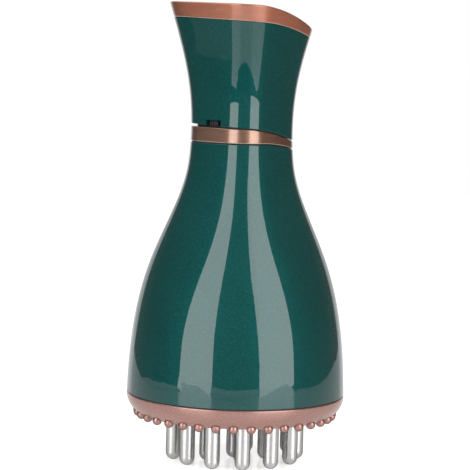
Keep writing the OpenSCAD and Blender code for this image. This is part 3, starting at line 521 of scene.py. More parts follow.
def circuit_board(name):
    material, tree, shader, place = new_finish(name, roughness=0.35, coat_weight=0.4)
    values = {"Vector": place, "Scale": 260.0, "Mortar Size": 0.09}
    values |= {"Color1": tint((10, 84, 46)), "Color2": tint((14, 96, 54)), "Mortar": tint((30, 128, 74))}
    tracks = put(tree, "ShaderNodeTexBrick", values)
    grooves = bump(tree, tracks.outputs["Fac"], 0.3, 0.00003)
    feed(tree, shader, Base_Color=tracks.outputs["Color"], Normal=grooves)
    return material


def printed_film(name):
    material, tree, shader, place = new_finish(name, roughness=0.3, coat_weight=0.5)
    values = {"Vector": place, "Scale": 90.0, "Distortion": 0.0}
    rings = put(tree, "ShaderNodeTexWave", values, wave_type="RINGS", rings_direction="Z")
    track = spread(tree, rings.outputs["Fac"], 0.45, 0.55)
    feed(tree, shader, Base_Color=blend_colours(tree, track, tint((196, 118, 30)), tint((120, 70, 26))))
    return material


# %% [markdown]
# ## One finish for each surface
# The finishes are made once, under the names of the record's material slots, and every CAD node
# takes the one that its slot names. The pieces made below take theirs from the same list.

# %% Make the finishes and dress the CAD nodes
finishes = {
    "green_shell": green_lacquer(),
    "rose_gold": brushed_metal(
        "rose_gold_brushed", (136, 102, 85), (168, 132, 112), 0.5, anisotropic=0.7, **clear_coat
    ),
    "rim_gold": brushed_metal(
        "rim_gold_brushed", (166, 104, 80), (186, 126, 104), 0.65, anisotropic=0.2, **clear_coat
    ),
    # The bevel's paler gold is a painted highlight; only its lower roughness is real polish.
    "edge_gold": worn_metal("polished_edge_painted_highlight", (0.8, 0.64, 0.55), 0.3),
    "rose_satin": moulded(
        "rose_satin_paint", (160, 122, 114), 0.25, 0.03, 2600.0, 0.000001, metallic=0.7,
        coat_weight=0.15, coat_roughness=0.25,
    ),
    "pin_steel": worn_metal(
        "polished_pin_steel", (0.57, 0.57, 0.57), 0.24, (1.0, 1.0, 0.02),
        specular_tint=(0.1, 0.1, 0.1, 1.0),
    ),
    "bead_rose": worn_metal(
        "bead_paint", tint((172, 134, 126)), 0.4, specular_tint=(0.1, 0.06, 0.05, 1.0)
    ),
    "black_plastic": moulded("black_plastic", (22, 22, 24), 0.5),
    "panel_black": moulded("panel_gloss_black", (12, 13, 14), 0.12, 0.1, 900.0, 0.000002, coat_weight=0.6),
    "button_rose": brushed_metal("button_spun_rose", (176, 104, 80), (220, 150, 122), 0.22),
    "button_grey": moulded("button_satin_grey", (66, 70, 74), 0.38),
    "sign_white": moulded("sign_white", (232, 232, 228), 0.4),
    "clear_lens": moulded("smoked_lens", (20, 24, 28), 0.08, 0.1, 500.0, 0.000001, transmission_weight=0.6),
    "seal_rubber": moulded("seal_rubber", (16, 16, 17), 0.7),
    "chassis_grey": moulded("chassis_grey", (104, 106, 110), 0.55),
    "steel_parts": worn_metal("plated_steel", (0.62, 0.62, 0.63), 0.3),
    "aluminium_plate": worn_metal("rolled_aluminium", (0.75, 0.75, 0.76), 0.35, (0.05, 1.0, 1.0)),
    "heater_amber": printed_film("heater_film_print"),
    "felt_ivory": moulded("pressed_felt", (214, 206, 188), 0.95, 0.1, 900.0, 0.0001, sheen_weight=0.4),
    "brass_parts": worn_metal("turned_brass", (0.72, 0.52, 0.22), 0.25),
    "board_green": circuit_board("circuit_board"),
    "chip_black": moulded("moulded_chip", (26, 26, 28), 0.45, 0.15, 3000.0),
    "led_white": moulded("light_white", (236, 238, 226), 0.3),
    "cell_wrap": moulded("cell_sleeve", (42, 84, 150), 0.3, 0.05, 400.0, 0.00002, coat_weight=0.3),
}
wires = {"red": (176, 26, 24), "blue": (24, 54, 160), "white": (222, 222, 216), "yellow": (222, 178, 30)}
for hue, rgb in wires.items():
    finishes["wire_" + hue] = moulded("wire_" + hue, rgb, 0.45)


def coat_piece(obj, finish):
    obj.data.materials.clear()
    obj.data.materials.append(finishes[finish])


for part in frame["record"]["subparts"]:
    coat_piece(frame["nodes"][part["node"]], part["material_slot"])
print("dressed", len(frame["nodes"]), "CAD nodes with", len(finishes), "finishes")


def stand_in(obj, node, finish, body="brush"):
    """The finished piece takes a node's place on its body."""
    coat_piece(obj, finish)
    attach(obj, body)
    if node:
        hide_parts(node)
    return obj


# %% [markdown]
# ## The green body
# The lower shell is a sleeve from the foot to the neck ring. At the back it has a slot with round
# ends for the charging plug, cut by a short bar of the same section.

# %% Lower shell
wall = 2.2
shell_round, slot_gap = 0.3, 0.2
socket_low, socket_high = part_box("charge_socket")
socket_z = (socket_low.z + socket_high.z) / 2 / MM
socket_w = (socket_high.x - socket_low.x) / MM
socket_h = (socket_high.z - socket_low.z) / MM
slot_rows = [(0, 15), (0, 35)]
slot = round_bar("slot_bar", socket_w + 2 * slot_gap, socket_h + 2 * slot_gap, slot_rows)
lying = Matrix.Rotation(math.radians(-120), 4, Vector((1, 1, 1)))
slot.data.transform(Matrix.Translation((0, 0, socket_z * MM)) @ lying)
lower_shell = sleeve(
    "body_lower", flat_cut(foot_z), lowered(ring_low, seam), wall, 150, shell_round, shell_round
)
cut_away(lower_shell, slot)
skin_normals(lower_shell)
stand_in(lower_shell, "lower_shell", "green_shell")
print("lower shell", len(lower_shell.data.polygons), "faces")

# %% [markdown]
# ## The handle shell and its notch
# The handle shell flares up to the slanted rim. Its lower edge has a notch on the front left flat,
# where a small black knob slides. The notch is cut by a block that is turned to face that flat.

# %% Handle shell
knob_low, knob_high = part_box("slide_knob")
knob_z = (knob_low.z + knob_high.z) / 2 / MM
flat_turn = math.radians(225)
notch_w, notch_h, notch_shift, notch_lift, notch_round = 7.6, 2.2, 0.5, 0.15, 0.35
core_inset = 2.5
core_face = float(section(np.array(flat_turn), np.array(knob_z), core_inset))


def to_flat(obj):
    """Turns a piece made against +X so that it faces the front left flat, beside its middle."""
    obj.data.transform(Matrix.Rotation(flat_turn, 4, "Z") @ Matrix.Translation((0, notch_shift * MM, 0)))
    return obj


def block(name, low, high, edge=0.0):
    """A block between two corners, with rounded edges."""
    cube = new_object(name, [], [])
    edit = bmesh.new()
    bmesh.ops.create_cube(edit, size=1)
    bmesh.ops.scale(edit, vec=(Vector(high) - Vector(low)) * MM, verts=edit.verts)
    bmesh.ops.translate(edit, vec=(Vector(high) + Vector(low)) / 2 * MM, verts=edit.verts)
    if edge:
        corners = list(edit.edges)
        bmesh.ops.bevel(edit, geom=corners, offset=edge * MM, segments=3, affect="EDGES", profile=0.5)
    edit.to_mesh(cube.data)
    edit.free()
    return tidy_mesh(cube)


upper_shell = sleeve("body_handle", handle_low, handle_top, wall, 90, shell_round, shell_round / 2)
notch_low = (core_face - 3, -notch_w / 2, knob_z - 5)
notch_high = (core_face + 7, notch_w / 2, knob_z + notch_h / 2 + notch_lift)
notch = block("notch", notch_low, notch_high, notch_round)
cut_away(upper_shell, to_flat(notch))
skin_normals(upper_shell)
stand_in(upper_shell, "upper_shell", "green_shell")
print("handle shell", len(upper_shell.data.polygons), "faces")

# %% [markdown]
# ## The rose-gold rim and the neck ring
# Both are sleeves on the same outline. Their lower edges carry a narrow polished bevel whose paler
# colour is a painted highlight, which shows as a pale line. The bevel is a strip of the same mesh with its
# own finish.

# %% Rim and neck ring
rim_round, edge_bevel, bevel_slope = 0.8, 0.3, -0.42
top_rim = sleeve("rim_ring", rim_low, rim_top, wall, 20, edge_bevel, rim_round)
stand_in(top_rim, "top_rim", "rim_gold")
neck_ring = sleeve(
    "neck_ring_band", ring_low, ring_top, core_inset - slot_gap, 20, edge_bevel, edge_bevel
)
stand_in(neck_ring, "neck_ring", "rose_gold")
# The downward bevel faces take the paler finish, a painted highlight along the lower edges.
for ring in (top_rim, neck_ring):
    ring.data.materials.append(finishes["edge_gold"])
    for face in ring.data.polygons:
        faces_out = face.normal.xy.dot(face.center.xy) > 0
        if face.normal.z < bevel_slope and faces_out:
            face.material_index = 1
print("rim", round(rim_h, 2), "mm, neck ring", round(ring_h, 2), "mm high on the axis")

# %% [markdown]
# ## The base ring
# The base ring is a lathe piece in satin rose paint. Its face curves in towards the pins, with a
# crisp upper edge. The bore carries the pin plate from below. Rubber seals close the joint above it
# and the seams round the neck ring, so that no light shows through them.

# %% Base ring and seals
foot_gap, seal_back, ring_sharp = 0.35, 0.35, 40
ring_top_z = foot_z - foot_gap
ring_face_h, curve_in, curve_h = 8.0, 8.0, 8.8
ring_bottom_z = ring_top_z - ring_face_h
ring_band, collar_h, collar_gap, ledge_w = 6.4, 3.0, 0.4, 1.5
ring_bore = foot_w - ring_band
collar_r, ledge_r = foot_w - wall - collar_gap, ring_bore - ledge_w
plate_lift, plate_t, bore_edge = 0.8, 3.0, 0.3
plate_z = ring_bottom_z + plate_lift
plate_top_z = plate_z + plate_t
upper_edge, lower_edge, lower_reach = 0.45, 0.4, 0.48


def face_r(z):
    return foot_w - curve_in * (1 - math.sqrt(1 - ((ring_top_z - z) / curve_h) ** 2))


lower_z = ring_bottom_z + lower_edge
face_points = [(face_r(z), z) for z in np.linspace(lower_z, ring_top_z - upper_edge, 28)]
corner = quarter(foot_w, ring_top_z, upper_edge, upper_edge, np.linspace(0.15, math.pi / 2, 6))
bottom = quarter(
    face_r(lower_z), ring_bottom_z, lower_reach, -lower_edge, np.linspace(math.pi / 2, 0.1, 6)
)
bore_foot = [(ring_bore, ring_bottom_z + bore_edge), (ring_bore + bore_edge, ring_bottom_z)]
collar_top = ring_top_z + collar_h
collar = [(collar_r, ring_top_z), (collar_r, collar_top), (ledge_r, collar_top)]
ledge = [(ledge_r, plate_top_z), (ring_bore, plate_top_z)]
base_outline = bore_foot + bottom + face_points + corner + collar + ledge
base_ring = lathe("base_ring_lathe", base_outline, len(turns), ring_sharp)
stand_in(base_ring, "base_ring", "rose_satin")
seal_box = [(foot_w - wall, ring_top_z), (foot_w - seal_back, ring_top_z)]
seal_box += [(r, foot_z) for r, _ in reversed(seal_box)]
seal = lathe("seam_seal", rounded(seal_box, 0.08, 3), len(turns))
stand_in(seal, "seam_gasket", "seal_rubber")
seal_inset, seal_gap, seal_from, seal_round = 0.5, 0.08, -2.0, 0.05


def neck_seal(name, below):
    """Rubber that fills the seam above a cut, from just behind the skin to the neck core."""
    low, high = lowered(below, -seal_gap), lowered(below, seal_gap - seam)
    depth = core_inset - slot_gap - seal_inset
    made = sleeve(name, low, high, depth, 4, seal_round, seal_round, seal_inset)
    return stand_in(made, "seam_gasket", "seal_rubber")


neck_seal("neck_seal_low", lowered(ring_low, seam))
high_seal = neck_seal("neck_seal_high", ring_top)
far_out, middle_z = 60, ring_low["z"]
open_low, open_high = (-far_out, -far_out, middle_z - ring_h), (seal_from, far_out, middle_z + 2 * ring_h)
cut_away(high_seal, block("open_side", open_low, open_high))
print("base ring", round(ring_bottom_z, 2), "to", round(collar_top, 2), "mm")

# %% [markdown]
# ## Geometry Nodes for what repeats
# A row of beads and a field of pins are one shape, many times. A node tree puts one copy on each
# point of a circle. The count, the radius and the turn are named inputs, so the same tree would
# make a wider ring or a denser one. The copies are made real at the end, because an export drops
# instances, and the result becomes a plain mesh.

# %% Helpers for node trees
socket_kinds = {int: "Int", float: "Float", bpy.types.Object: "Object", bpy.types.Material: "Material"}


def new_tree(name, values):
    """An empty geometry tree with one named input for each value."""
    tree = bpy.data.node_groups.new(name, "GeometryNodeTree")
    tree.interface.new_socket("Geometry", in_out="OUTPUT", socket_type="NodeSocketGeometry")
    for key, value in values.items():
        kind = "NodeSocket" + socket_kinds[type(value)]
        made = tree.interface.new_socket(key, in_out="INPUT", socket_type=kind)
        if isinstance(value, (int, float)):
            made.default_value = value
    return tree, tree.nodes.new("NodeGroupInput").outputs, tree.nodes.new("NodeGroupOutput").inputs


def xyz(tree, **parts):
    return put(tree, "ShaderNodeCombineXYZ", parts).outputs[0]


def turned_circle(tree, count, radius, turn, height=0.0):
    """Points on a circle round the axis, the first one at the given turn from +X."""
    ring = put(tree, "GeometryNodeMeshCircle", {"Vertices": count, "Radius": radius}).outputs["Mesh"]
    values = {"Geometry": ring, "Rotation": xyz(tree, Z=turn), "Translation": xyz(tree, Z=height)}
    return put(tree, "GeometryNodeTransform", values).outputs["Geometry"]


def copies_on(tree, points, instance):
    values = {"Points": points, "Instance": instance}
    return put(tree, "GeometryNodeInstanceOnPoints", values).outputs[0]


def end_tree(tree, out, geometry, finish):
    for kind in ("RealizeInstances", "SetShadeSmooth", "SetMaterial"):
        step = put(tree, "GeometryNode" + kind, {"Geometry": geometry})
        geometry = step.outputs[0]
    tree.links.new(finish, step.inputs["Material"])
    tree.links.new(geometry, out["Geometry"])


def grow(name, tree, values):
    """Runs a tree on an empty object and keeps the result as a plain mesh."""
    obj = new_object(name, [], [])
    change = obj.modifiers.new("Grow", "NODES")
    change.node_group = tree
    for item in tree.interface.items_tree:
        if item.in_out == "INPUT":
            change[item.identifier] = values[item.name]
    return bake(obj)


# %% [markdown]
# ## Beads
# Thirty-six small domes stand under the base ring and are painted with it. Each is a whole ball
# whose upper half sits inside the ring, which keeps the mesh closed.

# %% Bead row
bead_count, bead_inset, bead_d, bead_drop = 36, 4.6, 3.8, 0.05
front_turn, bead_turn = -90, -4.5
bead_values = {
    "Count": bead_count,
    "Circle radius": (foot_w - bead_inset) * MM,
    "Height": (ring_bottom_z - bead_drop) * MM,
    "First turn": math.radians(front_turn + bead_turn),
    "Bead radius": bead_d / 2 * MM,
    "Finish": finishes["bead_rose"],
}
bead_tree, given, out = new_tree("Bead row", bead_values)
circle = [given[key] for key in ("Count", "Circle radius", "First turn", "Height")]
places = turned_circle(bead_tree, *circle)
ball_values = {"Segments": 24, "Rings": 14, "Radius": given["Bead radius"]}
ball = put(bead_tree, "GeometryNodeMeshUVSphere", ball_values).outputs["Mesh"]
end_tree(bead_tree, out, copies_on(bead_tree, places, ball), given["Finish"])
beads = grow("bead_row", bead_tree, bead_values)
stand_in(beads, "base_ring", "bead_rose")
print("beads", bead_count, "faces", len(beads.data.polygons))

# %% [markdown]
# ## Steel pins
# Nineteen polished pins stand in two circles round a middle one. One pin is made on the lathe, with
# a ball tip that has a tiny flat where it stands, and a thin shank that is riveted behind the
# plate. The tree reads that pin and sets a copy on every point of both circles.

# %% Pin field
pin_r, shank_r, tip_flat = 3.05, 2.0, 0.06
rivet_lift, rivet_over, rivet_h, rivet_edge = 1.2, 0.8, 0.6, 0.15
rivet_z, rivet_r = plate_top_z + rivet_lift, shank_r + rivet_over
flat_angle = math.acos((pin_r - tip_flat) / pin_r)
tip_points = [
    (pin_r * math.sin(a), pin_r - tip_flat - pin_r * math.cos(a))
    for a in np.linspace(flat_angle, math.pi / 2, 16)
]
rivet_top, rivet_top_r = rivet_z + rivet_h, rivet_r - 0.2
shank = [(pin_r, plate_z), (shank_r, plate_z), (shank_r, rivet_z), (rivet_r, rivet_z)]
rivet = [(rivet_r, rivet_top - rivet_edge), (rivet_top_r, rivet_top), (0, rivet_top)]
one_pin = lathe("one_pin", [(0, 0)] + tip_points + shank + rivet, 48)
pin_circles = {"Outer": (13, 25.3, 4.0), "Inner": (5, 12.75, 9.5)}
pin_values = {"Pin": one_pin, "Finish": finishes["pin_steel"]}
for circle, (count, radius, turn) in pin_circles.items():
    pin_values[circle + " count"] = count
    pin_values[circle + " radius"] = radius * MM
    pin_values[circle + " turn"] = math.radians(front_turn + turn)
pin_tree, given, out = new_tree("Pin field", pin_values)
outer, inner = [
    turned_circle(pin_tree, *[given[circle + key] for key in (" count", " radius", " turn")])
    for circle in pin_circles
]
middle = put(pin_tree, "GeometryNodeMeshLine", {"Count": 1})
spots = put(pin_tree, "GeometryNodeJoinGeometry")
for source in (middle.outputs["Mesh"], inner, outer):
    pin_tree.links.new(source, spots.inputs[0])
pin_shape = put(pin_tree, "GeometryNodeObjectInfo", {"Object": given["Pin"]}).outputs["Geometry"]
end_tree(pin_tree, out, copies_on(pin_tree, spots.outputs[0], pin_shape), given["Finish"])
pins = grow("steel_pins", pin_tree, pin_values)
bpy.data.objects.remove(one_pin)
pins.data.set_sharp_from_angle(angle=math.radians(40))
stand_in(pins, "contact_pins", "pin_steel")
pin_count = 1 + sum(count for count, _, _ in pin_circles.values())
print("pins", pin_count, "faces", len(pins.data.polygons))

# %% [markdown]
# ## The slide knob
# The knob is a small rounded block with grip ribs on its face. The ribs are copies of one rounded
# bar along a line, made by a tree with the count and the pitch as inputs.

# %% Slide knob
knob_w, knob_h, knob_round = 4.2, 1.8, 0.2
knob_face, knob_depth = core_face + 0.25, core_inset - 0.6
stem_w, stem_h, stem_reach, overlap = 1.6, 1.2, 4.2, 0.3
rib_count, rib_t, rib_rise, rib_short, rib_round = 4, knob_w / 7, 0.4, 0.2, 0.12


def knob_block(name, near, far, width, height, edge=0.0):
    """A block on the knob's middle line, between two depths from its back."""
    y, z = width / 2, height / 2
    return block(name, (knob_face + near, -y, knob_z - z), (knob_face + far, y, knob_z + z), edge)


knob_front = knob_depth - rib_rise
knob = knob_block("switch_knob", 0, knob_front, knob_w, knob_h, knob_round)
stem = knob_block("switch_stem", -stem_reach, overlap, stem_w, stem_h)
one_rib = knob_block("one_rib", knob_front - overlap, knob_depth, rib_t, knob_h - rib_short, rib_round)
rib_values = {"Count": rib_count, "Pitch": 2 * rib_t * MM, "Rib": one_rib}
rib_values["Finish"] = finishes["black_plastic"]
rib_tree, given, out = new_tree("Grip ribs", rib_values)
reach = calc(rib_tree, "MULTIPLY", calc(rib_tree, "SUBTRACT", given["Count"], 1.0), given["Pitch"])
line_values = {
    "Count": given["Count"],
    "Start Location": xyz(rib_tree, Y=calc(rib_tree, "MULTIPLY", reach, -0.5)),
    "Offset": xyz(rib_tree, Y=given["Pitch"]),
}
line = put(rib_tree, "GeometryNodeMeshLine", line_values, mode="OFFSET").outputs[0]
rib_shape = put(rib_tree, "GeometryNodeObjectInfo", {"Object": given["Rib"]}).outputs["Geometry"]
end_tree(rib_tree, out, copies_on(rib_tree, line, rib_shape), given["Finish"])
ribs = grow("knob_ribs", rib_tree, rib_values)
bpy.data.objects.remove(one_rib)
for piece in (knob, stem, ribs):
    stand_in(to_flat(piece), "slide_knob", "black_plastic", body="knob")
print("knob at", round(knob_z, 2), "mm, face", round(core_face, 2), "mm from the axis")

# %% [markdown]
# ## The control panel
# Inside the rim lies a gloss black panel with four buttons and a smoked lens over three lights. It
# is a closed lid: rings of points from the middle out to the rim's bore, over a small round edge
# and back underneath. The openings for the buttons are cut afterwards.

# %% Panel
panel_recess, panel_t, panel_gap, panel_round = 1.0, 1.8, 0.2, 0.35
skirt_wall, skirt_h = 1.4, 5.0
panel_top = lowered(rim_top, panel_recess)
panel_under = lowered(panel_top, panel_t)
panel_tilt = math.atan(rim_top["fall"])
on_panel = Matrix.Translation((0, 0, panel_top["z"] * MM)) @ Matrix.Rotation(panel_tilt, 4, "Y")
buttons = {
    "power": (-2.0, 0.0, 5.0),
    "plus": (-2.0, 11.0, 3.4),
    "minus": (-2.0, -11.0, 3.4),
    "heat": (-12.5, 0.0, 3.4),
}
lens_x, lens_l, lens_w, lens_round = -19.5, 8.5, 2.6, 0.25
well_low, well_high = -4.0, 3.0
pole_share = 0.06


def lid_loops(c, edge, shares):
    """The edge loop drawn in by each share, laid on a cut."""
    inner = [(s * edge[:, 0], s * edge[:, 1]) for s in shares]
    return [np.stack([x, y, level(c, x)], axis=1) for x, y in inner]


skirt_low = lowered(handle_top, skirt_h)
outer_inset = wall + panel_gap
inner_inset = outer_inset + skirt_wall
top_edge = skin_loop(skirt_low, panel_top, 1, outer_inset + panel_round)
under_edge = skin_loop(skirt_low, panel_under, 1, inner_inset)
loops = lid_loops(panel_top, top_edge, np.linspace(pole_share, 1, 22))
for k in range(1, edge_steps + 1):
    a = math.pi / 2 * k / edge_steps
    inset, drop = panel_round * (1 - math.sin(a)), panel_round * (1 - math.cos(a))
    loops.append(skin_loop(skirt_low, panel_top, 1, outer_inset + inset, -drop))
loops += [skin_loop(skirt_low, panel_top, t, outer_inset) for t in (0.7, 0.35, 0)]
loops += [skin_loop(skirt_low, panel_under, t, inner_inset) for t in (0, 0.35, 0.7)]
loops += lid_loops(panel_under, under_edge, np.linspace(1, pole_share, 14))
panel = stitch("panel_lid", loops, [(0, 0, float(level(c, 0.0))) for c in (panel_top, panel_under)])


def lay(obj, x=0.0, y=0.0):
    """Moves a piece made flat round the origin to its place on the tilted panel."""
    obj.data.transform(on_panel @ Matrix.Translation((x * MM, y * MM, 0)))
    return obj


def well(key):
    """The round hole for a button."""
    x, y, r = buttons[key]
    hole = r + panel_gap
    outline = [(0, well_low), (hole, well_low), (hole, well_high), (0, well_high)]
    return lay(lathe("well_" + key, outline, 64), x, y)


well_rows = [(0, well_low), (0, well_high)]
lens_hole = round_bar("well_lens", lens_l + 2 * panel_gap, lens_w + 2 * panel_gap, well_rows)
cut_away(panel, *[well(key) for key in buttons], lay(lens_hole, lens_x))
stand_in(panel, "control_panel", "panel_black")
print("panel", len(panel.data.polygons), "faces, tilted", round(math.degrees(panel_tilt), 2), "degrees")

# %% [markdown]
# ## Buttons
# Each button is turned on the lathe: a dished face, a soft rim, a flange that keeps it under the
# panel and a stem that reaches its switch. It rides on its own body, so it sinks when pressed.

# %% Buttons
button_proud, button_travel, button_gap, flange_t, flange_w = 0.8, 0.6, 0.1, 0.8, 0.8
switch_top = panel_t + button_gap + flange_t + button_travel + 0.2
stem_r, cap_round, dish_depth, dish_rim = 1.5, 0.35, 0.25, 0.9


def button(key, finish):
    x, y, r = buttons[key]
    under, stem_end = -panel_t - button_gap, -switch_top - button_travel
    outline = [(0, stem_end), (stem_r, stem_end), (stem_r, under - flange_t)]
    outline += [(r + flange_w, under - flange_t), (r + flange_w, under), (r, under)]
    outline += quarter(r, button_proud, cap_round, cap_round, np.linspace(0, math.pi / 2, 7))
    dish_r = r - dish_rim
    outline += [(dish_r * s, button_proud - dish_depth * (1 - s * s)) for s in np.linspace(1, 0.08, 12)]
    outline.append((0, button_proud - dish_depth))
    stand_in(lay(lathe(key + "_cap", outline, 72, 40), x, y), key + "_button", finish, body=key)


for key in buttons:
    button(key, "button_rose" if key == "power" else "button_grey")
print("buttons", len(buttons), "rise", button_proud, "mm and press in", button_travel, "mm")

# %% [markdown]
# ## Symbols on the buttons
# The buttons carry common signs: a broken circle with a bar for power, a plus, a minus and three
# waves for heat. Each sign is a printed ribbon that follows the dished face and stands a twentieth
# of a millimetre above it.

# %% Signs on the buttons
sign_w, wave_w, sign_rise = 0.5, 0.4, 0.05
arm, wave_gap, wave_swing = 1.3, 0.95, 0.28


def dish_height(key, x, y):
    r = buttons[key][2] - dish_rim
    return button_proud - dish_depth * (1 - min(1.0, (x * x + y * y) / (r * r)))


def ribbon(name, key, points, width):
    """A flat ribbon with square ends along points on a button's face."""
    verts, faces = [], []
    n = len(points)
    for i, p in enumerate(points):
        here = Vector(p)
        ahead = Vector(points[min(i + 1, n - 1)]) - Vector(points[max(i - 1, 0)])
        side = Vector((-ahead.y, ahead.x)).normalized() * width / 2
        for spot in (here - side, here + side):
            z = dish_height(key, spot.x, spot.y)
            verts += [(spot.x, spot.y, z - sign_rise), (spot.x, spot.y, z + sign_rise)]
    for i in range(n - 1):
        a, b = 4 * i, 4 * i + 4
        faces += [(a + 1, b + 1, b + 3, a + 3), (a, a + 2, b + 2, b)]
        faces += [(a, b, b + 1, a + 1), (a + 2, a + 3, b + 3, b + 2)]
    faces += [(0, 1, 3, 2), (4 * n - 4, 4 * n - 2, 4 * n - 1, 4 * n - 3)]
    return lay(tidy_mesh(new_object(name, verts, faces), 30), *buttons[key][:2])


def arc(radius, start, stop, count=28):
    """Points on an arc, angles in degrees from the panel's high side."""
    bends = np.radians(np.linspace(start, stop, count))
    return [(-radius * math.cos(t), radius * math.sin(t)) for t in bends]


def line_points(a, b, count=8):
    return [tuple(Vector(a).lerp(Vector(b), k / (count - 1))) for k in range(count)]


def wave(shift, count=21):
    shares = [k / (count - 1) for k in range(count)]
    return [(arm * (2 * t - 1), shift + wave_swing * math.sin(t * 2 * math.pi)) for t in shares]


signs = {
    "power_sign_ring": ("power", arc(1.9, 35, 325)),
    "power_sign_bar": ("power", line_points((-2.3, 0), (-0.5, 0))),
    "plus_sign_a": ("plus", line_points((-arm, 0), (arm, 0))),
    "plus_sign_b": ("plus", line_points((0, -arm), (0, arm))),
    "minus_sign_bar": ("minus", line_points((0, -arm), (0, arm))),
    "heat_wave_1": ("heat", wave(-wave_gap)),
    "heat_wave_2": ("heat", wave(0)),
    "heat_wave_3": ("heat", wave(wave_gap)),
}
for name, (key, points) in signs.items():
    made = ribbon(name, key, points, wave_w if key == "heat" else sign_w)
    stand_in(made, None, "sign_white", key)
print("signs", len(signs))

# %% [markdown]
# ## The lens over the lights
# A moulded bar of smoked clear plastic with round ends is pressed into its slot in the panel. The
# three lights on the board below shine through it. It is a stack of rounded loops like the slot, so
# the two fit with an even gap, and its upper edge is softened.

# %% Lens over the lights
soft = lens_round * 0.3
lens_rows = [(0, -panel_t - flange_t), (0, -lens_round), (soft, -soft), (lens_round, 0)]
lens = lay(round_bar("lens_bar", lens_l, lens_w, lens_rows), lens_x)
stand_in(lens, "display_lens", "clear_lens")
print("lens", lens_l, "by", lens_w, "mm")

# %% [markdown]
# ## The camera
# The photograph was taken from a little above with a long lens, slightly turned. Matching the
# silhouette gave the height, the tilt and the focal length. The brush itself stays unturned, so the
# camera and everything in the studio are turned by four degrees instead.

# %% Camera
picture_side = 470
focal_px = 1986.86
cam_distance, cam_height, cam_x = 800.0, 167.74, -1.71
cam_tilt, cam_roll = 5.47, 1.5
brush_turn = 4.0
sensor = 36.0
cam_data = bpy.data.cameras.new("product_camera")
cam_data.sensor_width = sensor
cam_data.lens = focal_px / picture_side * sensor
cam_data.clip_start, cam_data.clip_end = 0.05, 20
camera = bpy.data.objects.new("product_camera", cam_data)
studio = Matrix.Rotation(math.radians(-brush_turn), 4, "Z")
camera.matrix_world = (
    studio
    @ Matrix.Translation((cam_x * MM, -cam_distance * MM, cam_height * MM))
    @ Matrix.Rotation(math.radians(90 - cam_tilt), 4, "X")
    @ Matrix.Rotation(math.radians(cam_roll), 4, "Z")
)
bpy.context.scene.collection.objects.link(camera)
bpy.context.scene.camera = camera
print("lens", round(cam_data.lens, 1), "mm")

# %% [markdown]
# ## The table
# The brush stands on a white table with a matt glaze. Its edges can be read in the lacquer: the
# straight sides end the pale band of the handle, and the cut front edge gives the lower band.

# %% Table
def stage_piece(name, verts, finish, hidden=(), faces=None):
    """A piece of the studio, hidden from the kinds of ray that are named."""
    made = new_object(name, verts, faces or [tuple(range(len(verts)))])
    made.data.materials.append(finish)
    made.matrix_world = studio
    for kind in hidden:
        setattr(made, "visible_" + kind, False)
    return made


def seen_rays(tree, direct, mirrored):
    """A number for rays from the camera, another for rays that a gloss or a clear piece sends on."""
    ray = put(tree, "ShaderNodeLightPath").outputs
    sent = calc(tree, "MAXIMUM", ray["Is Glossy Ray"], ray["Is Transmission Ray"])
    seen = calc(tree, "MULTIPLY", ray["Is Camera Ray"], direct)
    return calc(tree, "ADD", seen, calc(tree, "MULTIPLY", sent, mirrored))


def table_white():
    material, tree, shader, place = new_finish(
        "table_white", roughness=0.22, emission_color=(1, 1, 1, 1)
    )
    fine = noise(tree, place, 900.0, 2.0)
    feed(
        tree, shader,
        Base_Color=blend_colours(tree, fine, tint((236, 236, 235)), tint((240, 240, 239))),
        Normal=bump(tree, fine, 0.05, 0.00002),
        Emission_Strength=seen_rays(tree, 0.55, 0.25),
    )
    return material


left_edge, right_edge, table_back = -315.0, 357.0, 1500.0
front_reach = -341
left_turn, right_turn = (left_edge, -222, 0), (right_edge, -178, 0)
left_side = [(left_edge, table_back, 0), left_turn, (-480, -320, 0), (-330, -440, 0)]
front_edge = [(-225, -388, 0), (-190, -343, 0), (15, front_reach, 0), (240, -371, 0)]
right_side = [(420, -413, 0), (482, -352, 0), right_turn, (right_edge, table_back, 0)]
stage_piece("table", left_side + front_edge + right_side, table_white())
print("table", round(right_edge - left_edge), "mm wide")

# %% [markdown]
# ## Cloth round the studio
# Grey cloth hangs in a circle round the studio, each length with its own tone, so that the gloss
# between the lamps stays dark and the colour stays deep. The camera doesn't see it, only the gloss
# does. A pale card high on the left brightens the rim from that side.

# %% Cloth round the studio
def from_front(bearing, distance, height):
    """A point by its bearing in degrees from the camera's side, positive towards +X."""
    turn = math.radians(bearing)
    return distance * math.sin(turn), -distance * math.cos(turn), height


def glow_finish(name, strength, hue=(1.0, 1.0, 1.0)):
    """A surface that only shines; strength is a number, or a function that adds nodes to the tree."""
    material = bpy.data.materials.new(name)
    material.use_nodes = True
    tree = material.node_tree
    tree.nodes.clear()
    power = strength(tree) if callable(strength) else strength
    glow = put(tree, "ShaderNodeEmission", {"Color": (*hue, 1), "Strength": power})
    put(tree, "ShaderNodeOutputMaterial", {"Surface": glow.outputs[0]})
    return material


cloth_r, cloth_low, cloth_high, folds = 1350.0, -1300.0, 2300.0, 24
gloss_only = ("camera", "diffuse", "shadow", "transmission", "volume_scatter")


def cloth(name, first, last, grey, hue=(1.0, 1.0, 1.0), radius=cloth_r, low=cloth_low):
    """A curved cloth that hangs between two bearings."""
    foot = [from_front(b, radius, low) for b in np.linspace(first, last, folds + 1)]
    verts = foot + [(x, y, cloth_high) for x, y, _ in foot]
    up = folds + 1
    faces = [(k, k + 1, up + k + 1, up + k) for k in range(folds)]
    stage_piece(name, verts, glow_finish(name, grey, hue), gloss_only, faces)


cloth("cloth_left", -142, -40, 0.1)
cloth("cloth_front", -40, 40, 0.15)
cloth("cloth_right", 40, 144, 0.13, (1.0, 0.72, 0.58))
cloth("cloth_back", 144, 218, 0.88)
cloth("card_left", -140, -72, 3.0, radius=1200.0, low=1150.0)
print("cloth hangs", cloth_r, "mm from the axis")
